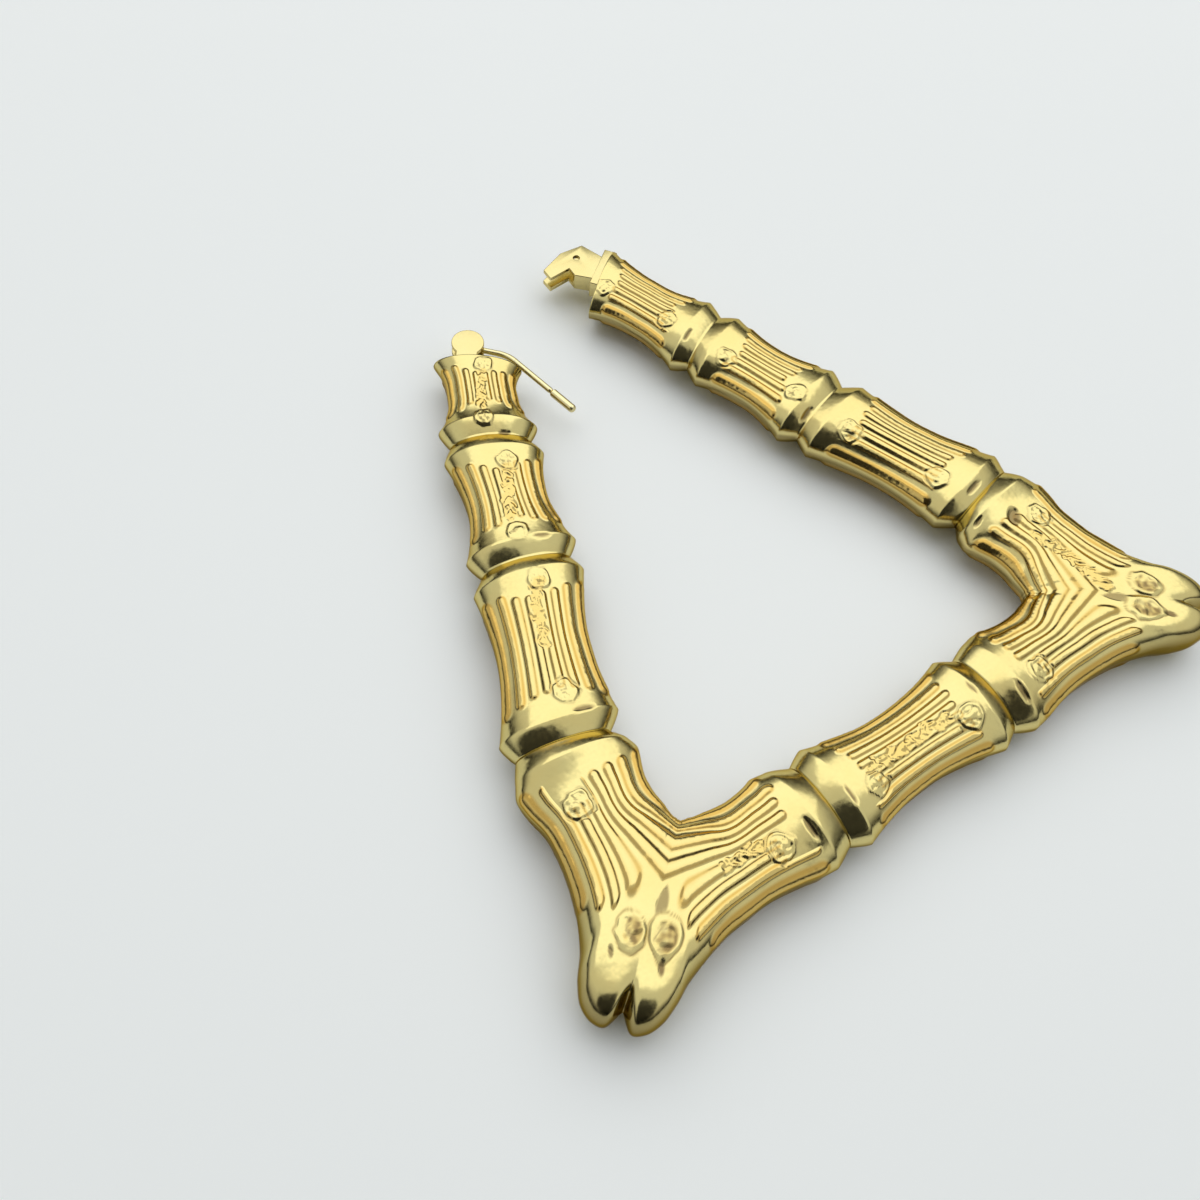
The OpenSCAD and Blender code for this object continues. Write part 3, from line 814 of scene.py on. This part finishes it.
def tube_faces(loop):
    """Quads round the tube, turned outwards, and whether they faced outwards at once."""
    n, k = loop.shape[:2]
    row, column = np.meshgrid(np.arange(n - 1), np.arange(k), indexing="ij")
    beside = (column + 1) % k
    quads = np.stack([row * k + column, (row + 1) * k + column,
                      (row + 1) * k + beside, row * k + beside], -1).reshape(-1, 4)
    top_quad = quads[k * (n // 2) + len(column_rod) // 2]
    a, b, c = loop.reshape(-1, 3)[top_quad[:3]]
    outward = np.cross(b - a, c - a)[2] > 0
    return (quads if outward else quads[:, ::-1]).tolist(), outward


def add_cap_plate(loop, points, faces, outward):
    """The plate inside the rim of the last ring. Returns its innermost ring."""
    k = loop.shape[1]
    rim, centre = loop[-1], loop[-1].mean(0)
    inward = loop[-2].mean(0) - centre
    inward /= np.linalg.norm(inward)
    ids = list(range(len(points) - k, len(points)))
    for scale, depth in CAP_PLATE:
        new = list(range(len(points), len(points) + k))
        points += (centre + (rim - centre) * scale + inward * depth).tolist()
        for q in range(k):
            r = (q + 1) % k
            face = (ids[q], new[q], new[r], ids[r])
            faces.append(face if outward else face[::-1])
        ids = new
    return ids


def closed_mesh(name, loop, open_end):
    """Faces round the loop and over both ends, as a mesh in the frame."""
    points = loop.reshape(-1, 3).tolist()
    faces, outward = tube_faces(loop)
    k = loop.shape[1]
    first, last = list(range(k)), list(range(len(points) - k, len(points)))
    faces.append(first if outward else first[::-1])
    flat = [len(faces) - 1]
    if open_end:
        last = add_cap_plate(loop, points, faces, outward)
    faces.append(last[::-1] if outward else last)
    flat.append(len(faces) - 1)
    mesh = bpy.data.meshes.new(name)
    mesh.from_pydata(((np.array(points) + SHIFT) * MM).tolist(), [], faces)
    mesh.polygons.foreach_set("use_smooth", [q not in flat for q in range(len(faces))])
    return mesh


print("cap plate set", max(depth for _, depth in CAP_PLATE), "mm inside the rim")

# %% [markdown]
# ## One stretch, from grid to piece
# A stretch goes through all the steps above: bare grid, rods, pressed forms, unevenness,
# mirrored back, closed ends. Its browning, amber and painted shade are kept as values on
# its points, because a finish can then read them anywhere on the piece, on the back as
# well.

# %% A stretch of tube


def tube_mesh(name, rings, rods, mirrored=False, is_corner=False, open_end=False):
    """One stretch of the tube as a closed piece, with its browning, amber and painted
    shade kept on its points.
    """
    if mirrored:
        rings = {**rings, "inner": rings["inner"] * (-1, 1),
                 "outer": rings["outer"] * (-1, 1)}
    P, across = bare_grid(rings)
    relief = stop_at_buds(P, rod_relief(P, rods))
    h, dent, ribbon = pressed_forms(P, relief)
    if is_corner:
        h, dent, ribbon = corner_forms(P, h, dent, ribbon, mirrored)
    front = raised(P, uneven(P, h, relief, sum(ord(letter) for letter in name)))
    loop = np.concatenate([front, front[:, -2:0:-1] * (1, 1, -1)], 1)
    marks_and_shade = {label: all_round(values)
              for label, values in front_marks_and_shade(relief, dent, ribbon).items()}
    seam = seam_shade(loop[..., 2], all_round(across), rings["turn"][:, None])
    # The painted shade along the seam and under the tips goes into the brown value
    marks_and_shade["dent"] = blend(marks_and_shade["dent"], 1, seam)
    mesh = closed_mesh(name, loop, open_end)
    for label, values in marks_and_shade.items():
        spots = np.zeros(len(mesh.vertices), np.float32)
        spots[:values.size] = values.reshape(-1)
        mesh.attributes.new(label, "FLOAT", "POINT").data.foreach_set("value", spots)
    mesh.update()
    return add_piece(name, mesh)


print("values on each point of the tube: dent, flank, amber")

# %% [markdown]
# ## Measuring a piece
# After each piece its triangles are counted, and its edges are checked. A closed
# surface has two faces on every edge, as a printed or cast piece needs.

# %% Report on a piece


def report(piece):
    """Print a piece's triangles, open edges, volume and box."""
    mesh = piece.data
    tris = sum(len(p.vertices) - 2 for p in mesh.polygons)
    spots = np.array([v.co for v in mesh.vertices]) / MM
    check = bmesh.new()
    check.from_mesh(mesh)
    open_edges = sum(1 for e in check.edges if len(e.link_faces) != 2)
    volume = check.calc_volume(signed=True) / MM**3
    check.free()
    print(piece.name, tris, "triangles, open edges:", open_edges,
          "volume mm3:", round(volume, 1),
          "box mm:", spots.min(0).round(1).tolist(), spots.max(0).round(1).tolist())


# %% [markdown]
# ## The base section
# The straight piece between the corners. Its rods start a little past the crest, and
# those in the middle start later than those at the edges.

# %% Where the rods of a straight section begin
# Distance from the crest at the tube's edges and in its middle, and its unevenness, mm
EDGE_START, MIDDLE_START, START_UNEVEN = 2.0, 3.5, 0.35


def rod_offsets(seed, scale=1.0):
    """Distances from the crest to the rods' ends, uneven as the die was cut."""
    rng = np.random.default_rng(seed)
    half = (ROD_COUNT - 1) / 2
    middle = 1 - np.abs(np.arange(ROD_COUNT) - half) / half
    even = scale * (EDGE_START + (MIDDLE_START - EDGE_START) * middle)
    return even + rng.uniform(-START_UNEVEN, START_UNEVEN, ROD_COUNT)


def straight_rods(P, first_ring, last_ring, seed, end_gap=CREST_STEP, end_scale=1.0):
    """The rods of one straight section: index, path lengths, and its rings."""
    begin, finish = rod_offsets(seed), rod_offsets(seed + 1, end_scale)
    rods = []
    for rod in range(ROD_COUNT):
        path = path_length(P, rod)
        rods.append((rod, path[first_ring] + CREST_STEP + begin[rod],
                     path[last_ring] - end_gap - finish[rod], first_ring, last_ring))
    return rods


base_rods = straight_rods(base_grid, 0, len(base_rings["along"]) - 1, seed=11)
tube_base = tube_mesh("tube_base", base_rings, base_rods)
report(tube_base)

# %% [markdown]
# ## The two corners
# Four rods run through the mitre as nested chevrons. The outer ones end rounded, one
# after the other, to leave room for the ovals. The left corner is the right one
# mirrored, with other small accidents in it.

# %% Corner pieces
# Up to which share of the turn each rod runs, from the inner edge outwards. A share
# above 1 stands for a rod that runs on through the mitre
ROD_STOPS = [2, 2, 2, 2, 0.92, 0.82, 0.7, 0.6]
# How far the rods keep from the crests, compared with the base's rods
CORNER_ROD_SCALE = 0.8


def corner_rods(rings, seed):
    """The rods of a corner: through the mitre, or one for each limb."""
    P = bare_grid(rings)[0]
    middle, last = rings["notch"], len(rings["thick"]) - 1
    begin, finish = rod_offsets(seed), rod_offsets(seed + 1)
    rods = []
    for rod in range(ROD_COUNT):
        path = path_length(P, rod)
        start = CREST_STEP + begin[rod] * CORNER_ROD_SCALE
        end = path[-1] - CREST_STEP - finish[rod] * CORNER_ROD_SCALE
        stop = ROD_STOPS[rod]
        if stop > 1:
            rods.append((rod, start, end, 0, last))
            continue
        one = np.searchsorted(rings["turn"][:middle + 1], stop)
        two = last - np.searchsorted(rings["turn"][middle:][::-1], stop)
        rods.append((rod, start, path[one], 0, middle))
        rods.append((rod, path[two], end, middle, last))
    return rods


tube_right_corner = tube_mesh(
    "tube_right_corner", corner, corner_rods(corner, 21), is_corner=True)
tube_left_corner = tube_mesh(
    "tube_left_corner", corner, corner_rods(corner, 31), mirrored=True, is_corner=True)
report(tube_right_corner)
report(tube_left_corner)

# %% [markdown]
# ## The two arms
# Each arm has three sections. The left one ends lower, under the hinge, and the right
# one ends under the catch, so each arm gets its own last section.

# %% Arm pieces
# How far the rods keep from an open end, compared with the base's rods
CAP_ROD_SCALE = 0.75


def arm_mesh(name, end, mirrored, seed):
    """One arm, from the corner's last joint to its open end."""
    parts = [
        straight_rings(ARM_JOINTS[0], ARM_JOINTS[1], ARM_WAISTS[0]),
        straight_rings(ARM_JOINTS[1], ARM_JOINTS[2], ARM_WAISTS[1]),
        straight_rings(ARM_JOINTS[2], end, ARM_WAISTS[2], capped=True),
    ]
    rings, starts = {}, [0]
    for part in parts:
        starts.append(starts[-1] + len(part["along"]) - 1)
    for key in ("inner", "outer", "thick", "turn", "cleft", "edges"):
        rings[key] = np.concatenate([parts[0][key], parts[1][key][1:], parts[2][key][1:]])
    P = bare_grid(rings)[0]
    rods = []
    for k in range(3):
        capped = k == 2
        rods += straight_rods(P, starts[k], starts[k + 1], seed + 3 * k,
                              end_gap=0 if capped else CREST_STEP,
                              end_scale=CAP_ROD_SCALE if capped else 1.0)
    return tube_mesh(name, rings, rods, mirrored=mirrored, open_end=True)


tube_right_arm = arm_mesh("tube_right_arm", CATCH_END, False, 41)
tube_left_arm = arm_mesh("tube_left_arm", HINGE_END, True, 61)
report(tube_right_arm)
report(tube_left_arm)

# %% [markdown]
# ## Sheet pieces
# The ears, the catch and their strips are cut from thicker sheet and filed smooth.
# Each starts as a flat outline raised to its thickness. Holes are cut out with a round
# tool, and a narrow bevel softens the edges as filing does.

# %% Plates, cuts and soft edges
BEVEL_SEGMENTS, BEVEL_ANGLE, SHARP_ANGLE = 3, math.radians(35), math.radians(40)
TOOL_SIDES = 48


def piece_from(name, maker):
    """A piece from what was modelled."""
    mesh = bpy.data.meshes.new(name)
    maker.to_mesh(mesh)
    maker.free()
    return add_piece(name, mesh)


def plate(name, outline, low, high):
    """A flat plate from an outline, from one height to the other."""
    maker = bmesh.new()
    face = maker.faces.new([maker.verts.new((x, y, low)) for x, y in outline])
    top = bmesh.ops.extrude_face_region(maker, geom=[face])
    lifted = [g for g in top["geom"] if isinstance(g, bmesh.types.BMVert)]
    bmesh.ops.translate(maker, verts=lifted, vec=(0, 0, high - low))
    bmesh.ops.recalc_face_normals(maker, faces=maker.faces)
    return piece_from(name, maker)


def round_tool(x, y, r, half_long):
    """A round rod to cut a hole with."""
    maker = bmesh.new()
    bmesh.ops.create_cone(maker, cap_ends=True, segments=TOOL_SIDES, radius1=r, radius2=r,
                          depth=2 * half_long, matrix=Matrix.Translation((x, y, 0)))
    return piece_from("tool", maker)


def apply_modifiers(piece):
    """Turn what the modifiers show into the piece's own mesh."""
    depsgraph = bpy.context.evaluated_depsgraph_get()
    mesh = bpy.data.meshes.new_from_object(piece.evaluated_get(depsgraph))
    piece.modifiers.clear()
    piece.data = mesh


def cut(piece, tool):
    """Take the tool's shape out of the piece."""
    maker = piece.modifiers.new("cut", "BOOLEAN")
    maker.operation, maker.object, maker.solver = "DIFFERENCE", tool, "EXACT"
    apply_modifiers(piece)
    bpy.data.objects.remove(tool)


def finish_plate(piece, soft):
    """Soften a plate's edges and take it from the plan, in mm, to the frame, in m."""
    maker = piece.modifiers.new("soften", "BEVEL")
    maker.width, maker.segments, maker.limit_method = soft, BEVEL_SEGMENTS, "ANGLE"
    maker.angle_limit = BEVEL_ANGLE
    apply_modifiers(piece)
    for polygon in piece.data.polygons:
        polygon.use_smooth = True
    piece.data.set_sharp_from_angle(angle=SHARP_ANGLE)
    piece.data.transform(Matrix.Scale(MM, 4) @ Matrix.Translation(Vector(SHIFT)))
    report(piece)


print("bevels have", BEVEL_SEGMENTS, "segments")

# %% [markdown]
# ## The hinge's ears
# Two round ears stand on a folded strip that is soldered to the left end, and the ear
# wire's eye turns between them. Disc and neck are one outline here, because a cylinder
# joined to a box would leave a crease at the neck.

# %% Ears
# Radius, thickness, gap between them, rise, place off the middle, and width of the neck
EAR_R, EAR_T, EAR_GAP, EAR_RISE, EAR_OFFSET, EAR_NECK = 2.2, 0.55, 1.0, 3.9, 1.6, 2.8
# How far necks and strips reach into the tube, and how far pieces that cover the
# measured ones stand proud of them
SUNK, EAR_SKIN = 0.4, 0.03
# Softened edges of ears and foot, corners of a disc's outline, and the share of the
# ears' thickness that the foot spans
EAR_SOFT, EAR_FOOT_SOFT, EAR_STEPS, EAR_FOOT_SHARE = 0.12, 0.1, 48, 0.9
hinge_angle = math.radians(180 - HINGE_END["axis"])
hinge_up = np.array([math.cos(hinge_angle), math.sin(hinge_angle)])
hinge_out = np.array([-math.sin(hinge_angle), math.cos(hinge_angle)])
hinge_foot = np.array([-HINGE_END["at"][0], HINGE_END["at"][1]]) + EAR_OFFSET * hinge_out
hinge = hinge_foot + EAR_RISE * hinge_up
print("hinge in the plan, mm:", hinge.round(3))


def ear_outline():
    """Disc and neck of an ear in one outline."""
    neck = EAR_NECK / 2
    join = math.asin(neck / EAR_R)
    points = []
    for k in range(EAR_STEPS + 1):
        a = -math.pi + join + (2 * math.pi - 2 * join) * k / EAR_STEPS
        points.append((EAR_R * math.cos(a), EAR_R * math.sin(a)))
    points += [(-EAR_RISE - SUNK, neck), (-EAR_RISE - SUNK, -neck)]
    return [tuple(hinge + x * hinge_up + y * hinge_out) for x, y in points]


ears = []
for name, side in (("hinge_ear_front", 1), ("hinge_ear_back", -1)):
    faces_at = (side * EAR_GAP / 2, side * (EAR_GAP / 2 + EAR_T + EAR_SKIN))
    ear = plate(name, ear_outline(), min(faces_at), max(faces_at))
    finish_plate(ear, EAR_SOFT)
    ears.append(ear)

strip = [tuple(hinge_foot + x * hinge_up + y * EAR_NECK / 2 * hinge_out)
         for x, y in ((-SUNK, -1), (SUNK, -1), (SUNK, 1), (-SUNK, 1))]
foot_half = EAR_GAP / 2 + EAR_T * EAR_FOOT_SHARE
ear_foot = plate("hinge_ear_foot", strip, -foot_half, foot_half)
finish_plate(ear_foot, EAR_FOOT_SOFT)

# %% [markdown]
# ## The catch
# One strip folded like a trough: two walls with a gap the ear wire's tip swings
# through, closed below and behind. It stands on a small base strip whose end sticks
# out as a flap. Cutting the gap and the hole out of a block gives exactly the folded
# shape, and softening the edges afterwards gives the sheet's rounded corners.

# %% Catch
# Width of the channel, thickness of the strip, and the hole's radius and place
CHANNEL_W, STRIP_T, CATCH_HOLE_R, CATCH_HOLE = 1.4, 0.6, 0.45, np.array([-1.0, 5.3])
CATCH_CHANNEL = [(-7.5, 2.8), (-2.8, 3.1), (-1.0, 1.3), (0.8, 2.0), (0.5, 8), (-7.5, 8)]
# Where the base strip begins and its flap ends, and how thick it is
STRIP_FROM, STRIP_TO, BASE_STRIP_T = -1.5, 5.6, 1.5
# Half length of the tool for the hole, and softened edges of the fold and its strip
HOLE_TOOL, CATCH_SOFT, CATCH_FOOT_SOFT = 3, 0.12, 0.14
catch_at = np.array(CATCH_END["at"])
wall_half = CHANNEL_W / 2 + STRIP_T


def on_catch(outline):
    """An outline taken from the middle of the right arm's end into the plan."""
    return [tuple(catch_at + point) for point in outline]


catch_fold = plate("catch_fold", on_catch(CATCH_WALL), -wall_half, wall_half)
cut(catch_fold, plate("tool", on_catch(CATCH_CHANNEL), -CHANNEL_W / 2, CHANNEL_W / 2))
cut(catch_fold, round_tool(*(catch_at + CATCH_HOLE), CATCH_HOLE_R, HOLE_TOOL))
finish_plate(catch_fold, CATCH_SOFT)

flap_turn = math.radians(CATCH_END["axis"] - 90)
flap_x = np.array([math.cos(flap_turn), math.sin(flap_turn)])
flap_y = np.array([-math.sin(flap_turn), math.cos(flap_turn)])
strip = [(STRIP_FROM, -SUNK), (STRIP_TO, -SUNK),
         (STRIP_TO, BASE_STRIP_T), (STRIP_FROM, BASE_STRIP_T)]
strip = on_catch([x * flap_x + y * flap_y for x, y in strip])
foot_half = wall_half + EAR_SKIN
catch_foot = plate("catch_foot", strip, -foot_half, foot_half)
finish_plate(catch_foot, CATCH_FOOT_SOFT)

# %% [markdown]
# ## Small helpers for finishes
# A finish is a handful of nodes: clouds of noise that stay on the piece, ranges that
# stretch a value, and colours mixed by it. One helper for each keeps the finishes
# below short, and the floor and the room use them too.

# %% Helpers for nodes


def ranged(tree, source, low, high, to_low, to_high, kind="LINEAR"):
    """The source's values from low to high, stretched over another range."""
    step = tree.nodes.new("ShaderNodeMapRange")
    step.interpolation_type = kind
    for label, value in (("From Min", low), ("From Max", high),
                         ("To Min", to_low), ("To Max", to_high)):
        step.inputs[label].default_value = value
    tree.links.new(source, step.inputs["Value"])
    return step.outputs["Result"]


def noise(tree, scale, detail):
    """Soft clouds that stay on the piece."""
    place = tree.nodes.new("ShaderNodeTexCoord")
    cloud = tree.nodes.new("ShaderNodeTexNoise")
    cloud.inputs["Scale"].default_value = scale
    cloud.inputs["Detail"].default_value = detail
    tree.links.new(place.outputs["Object"], cloud.inputs["Vector"])
    return cloud.outputs["Fac"]


def stain_and_shade(tree, label, share):
    """One of the values kept for each point of the tube, up to the given share."""
    mark = tree.nodes.new("ShaderNodeAttribute")
    mark.attribute_name = label
    return ranged(tree, mark.outputs["Fac"], 0, 1, 0, share)


def combined(tree, operation, one, two):
    """Sum or product of two values, kept between 0 and 1."""
    total = tree.nodes.new("ShaderNodeMath")
    total.operation, total.use_clamp = operation, True
    tree.links.new(one, total.inputs[0])
    tree.links.new(two, total.inputs[1])
    return total.outputs[0]


def tint(tree, factor, under, over):
    """A colour, or a colour from a node, tinted with another by a factor."""
    tone = tree.nodes.new("ShaderNodeMix")
    tone.data_type = "RGBA"
    tree.links.new(factor, tone.inputs["Factor"])
    if isinstance(under, tuple):
        tone.inputs["A"].default_value = (*under, 1)
    else:
        tree.links.new(under, tone.inputs["A"])
    tone.inputs["B"].default_value = (*over, 1)
    return tone.outputs["Result"]


print("node helpers: ranged, noise, stain, combined, tint")

# %% [markdown]
# ## Gold plate
# Gold-plated brass is a mirror with a very fine unevenness. One finish serves the whole
# tube: pale gold on the raised parts, a deeper amber on the rods' flanks, painted as the
# real metal's reflection of itself, brown in the dents, brown painted shade along the
# seam, under the tips, on the flanks and in the ovals, and a soft gloss that changes a
# little from place to place.

# %% Finishes
# How much deeper the flanks look, as a painted reflection of the metal in itself, and the
# patches; size and detail of the patches, and the range of the clouds that shows
FLANK_REFLECTION, PATCH_SHARE = 0.7, 0.2
PATCH_SCALE, PATCH_DETAIL, PATCH_RANGE = 180, 3, (0.4, 0.7)
# Fine grain of the polish, and how deep its pits are, in m
GRAIN_SCALE, GRAIN_DETAIL, GRAIN_RANGE, PIT_DEPTH = 2600, 4, (0.3, 0.7), 0.00002
EDGE_TINT = (0.62, 0.5, 0.3, 1)
# Brown of the browned spots, and of the painted shade along the seam, under the tips, on
# the rods' flanks and in the ovals
BROWN = (0.14, 0.09, 0.04)


def gold_finish(name, pale, deep, rough, bump):
    """A polished gold: deeper on amber rods, and on flanks as painted reflection; brown
    in the dents, and brown painted shade along the seam, under the tips, on flanks and in
    the ovals.
    """
    finish = bpy.data.materials.new(name)
    finish.use_nodes = True
    tree = finish.node_tree
    shader = tree.nodes["Principled BSDF"]
    shader.inputs["Metallic"].default_value = 1.0
    shader.inputs["Specular Tint"].default_value = EDGE_TINT
    # The rods' flanks get a deeper amber, painted as the metal's reflection of itself
    flanks = stain_and_shade(tree, "flank", FLANK_REFLECTION)
    pressed = combined(tree, "ADD", stain_and_shade(tree, "amber", 1), flanks)
    clouds = noise(tree, PATCH_SCALE, PATCH_DETAIL)
    patches = ranged(tree, clouds, *PATCH_RANGE, 0, PATCH_SHARE)
    gold = tint(tree, combined(tree, "ADD", pressed, patches), pale, deep)
    # Brown from the brown value: browning, and painted shade along the seam, under the
    # tips, on flanks and in the ovals
    brown_and_shade = tint(tree, stain_and_shade(tree, "dent", 1), gold, BROWN)
    tree.links.new(brown_and_shade, shader.inputs["Base Color"])
    fine = noise(tree, GRAIN_SCALE, GRAIN_DETAIL)
    tree.links.new(ranged(tree, fine, *GRAIN_RANGE, *rough), shader.inputs["Roughness"])
    pits = tree.nodes.new("ShaderNodeBump")
    pits.inputs["Strength"].default_value = bump
    pits.inputs["Distance"].default_value = PIT_DEPTH
    tree.links.new(fine, pits.inputs["Height"])
    tree.links.new(pits.outputs["Normal"], shader.inputs["Normal"])
    return finish


# Each finish: pale and deep gold, least and most roughness, strength of the pits
tube_gold = gold_finish(
    "tube_gold", (0.70, 0.60, 0.255), (0.68, 0.445, 0.105), (0.12, 0.23), 0.2)
fitting_gold = gold_finish(
    "fitting_gold", (0.70, 0.60, 0.28), (0.64, 0.48, 0.15), (0.2, 0.28), 0.15)
wire_gold = gold_finish(
    "wire_gold", (0.75, 0.67, 0.38), (0.68, 0.56, 0.24), (0.14, 0.22), 0.12)

tube_pieces = [
    tube_base, tube_left_corner, tube_right_corner, tube_left_arm, tube_right_arm]
fitting_pieces = ears + [ear_foot, catch_fold, catch_foot]
for piece in tube_pieces:
    piece.data.materials.append(tube_gold)
for piece in fitting_pieces:
    piece.data.materials.append(fitting_gold)
for node, finish in (("ear_wire", wire_gold), ("hinge_rivet", fitting_gold)):
    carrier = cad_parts[node]
    carrier.data.materials.clear()
    carrier.data.materials.append(finish)
print("finishes:", tube_gold.name, fitting_gold.name, wire_gold.name)

# %% [markdown]
# ## Who carries what
# The tube and everything soldered to it moves as one body. The ear wire swings on the
# rivet, so it stays the measured solid.

# %% Bodies
for piece in tube_pieces + fitting_pieces:
    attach(piece, "hoop")
    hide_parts("bamboo_hoop")
print(len(tube_pieces + fitting_pieces), "pieces ride on the hoop")

# %% [markdown]
# ## Floor
# The earring lies on a pale, even surface, perhaps painted board. A plane with a
# barely clouded white is enough, and it lights the metal from below as well.

# %% Floor
FLOOR_HALF, FLOOR_ROUGH, FLOOR_SCALE = 1.5, 0.55, 9
FLOOR_TONES = ((0.94, 0.965, 0.96), (0.96, 0.985, 0.98))
FLOOR_CORNERS = ((-1, -1), (1, -1), (1, 1), (-1, 1))
floor_mesh = bpy.data.meshes.new("floor")
floor_mesh.from_pydata(
    [(x * FLOOR_HALF, y * FLOOR_HALF, 0) for x, y in FLOOR_CORNERS], [], [(0, 1, 2, 3)])
floor = add_piece("floor", floor_mesh)
floor_paint = bpy.data.materials.new("floor_paint")
floor_paint.use_nodes = True
tree = floor_paint.node_tree
shader = tree.nodes["Principled BSDF"]
tone = tint(tree, noise(tree, FLOOR_SCALE, 2), *FLOOR_TONES)
tree.links.new(tone, shader.inputs["Base Color"])
shader.inputs["Roughness"].default_value = FLOOR_ROUGH
floor.data.materials.append(floor_paint)
print("floor, m:", 2 * FLOOR_HALF, "wide")

# %% [markdown]
# ## Light
# A large soft light from above, in a room that is darker near the horizon. Polished
# metal shows its surroundings, so the dark rim of the room gives the near-black edges,
# the soft light the pale tops, and one round dark spot overhead the shaded middles.
# A plain white room would leave the gold flat.

# %% Room and lamp
# Brightness of the room at the horizon and overhead, and between which heights it rises
HORIZON, OVERHEAD, RISE = 0.02, 0.77, (0.06, 0.55)
# Direction of the dark spot, how dark it is, and where its edge begins and ends
SPOT_WAY, SPOT_SHARE, SPOT_EDGE = (-0.51, -0.59, 0.62), 0.95, (0.80, 0.82)
ROOM_COLOUR = (0.98, 1.0, 1.0, 1)
LAMP_AT, LAMP_SIZE, LAMP_POWER = (0.24, 0.28, 0.62), (1.2, 0.9), 2.7
world = bpy.data.worlds.new("room")
bpy.context.scene.world = world
world.use_nodes = True
tree = world.node_tree
way = tree.nodes.new("ShaderNodeTexCoord").outputs["Generated"]
parts = tree.nodes.new("ShaderNodeSeparateXYZ")
tree.links.new(way, parts.inputs[0])
brightness = ranged(tree, parts.outputs["Z"], *RISE, HORIZON, OVERHEAD, "SMOOTHSTEP")
toward = tree.nodes.new("ShaderNodeVectorMath")
toward.operation = "DOT_PRODUCT"
toward.inputs[1].default_value = SPOT_WAY
tree.links.new(way, toward.inputs[0])
shade = ranged(
    tree, toward.outputs["Value"], *SPOT_EDGE, 1.0, 1.0 - SPOT_SHARE, "SMOOTHSTEP")
background = tree.nodes["Background"]
level = combined(tree, "MULTIPLY", brightness, shade)
tree.links.new(level, background.inputs["Strength"])
background.inputs["Color"].default_value = ROOM_COLOUR

light = bpy.data.lights.new("overhead", "AREA")
light.shape, light.size, light.size_y = "RECTANGLE", *LAMP_SIZE
light.energy = LAMP_POWER
lamp = add_piece("overhead", light)
lamp.location = LAMP_AT
lamp.rotation_euler = (-Vector(LAMP_AT)).to_track_quat("-Z", "Y").to_euler()

# %% [markdown]
# ## Camera
# The camera looks down at about sixty degrees from the left of the base. Its place
# and its lens were worked out from the corners and joints of the hoop.

# %% Camera
CAMERA_AT = np.array([-63.433, -18.318, 117.830])
CAMERA_RIGHT = (0.82613583, -0.55952672, 0.06655403)
CAMERA_UP = (0.45594262, 0.73320452, 0.50450715)
CAMERA_BACK = (-0.33108294, -0.38644662, 0.8608386)
FOCAL_PIXELS, IMAGE_PIXELS, SENSOR, NEAREST = 1143.2, 1200, 36, 0.005
view = bpy.data.cameras.new("camera")
view.sensor_width = SENSOR
view.lens = SENSOR * FOCAL_PIXELS / IMAGE_PIXELS
view.clip_start = NEAREST
camera = add_piece("camera", view)
turn = Matrix((CAMERA_RIGHT, CAMERA_UP, CAMERA_BACK)).transposed()
camera.matrix_world = Matrix.Translation(Vector((CAMERA_AT + SHIFT) * MM)) @ turn.to_4x4()
bpy.context.scene.camera = camera
bpy.context.scene.view_settings.view_transform = "Standard"
print("camera at, m:", [round(x, 4) for x in camera.matrix_world.translation])
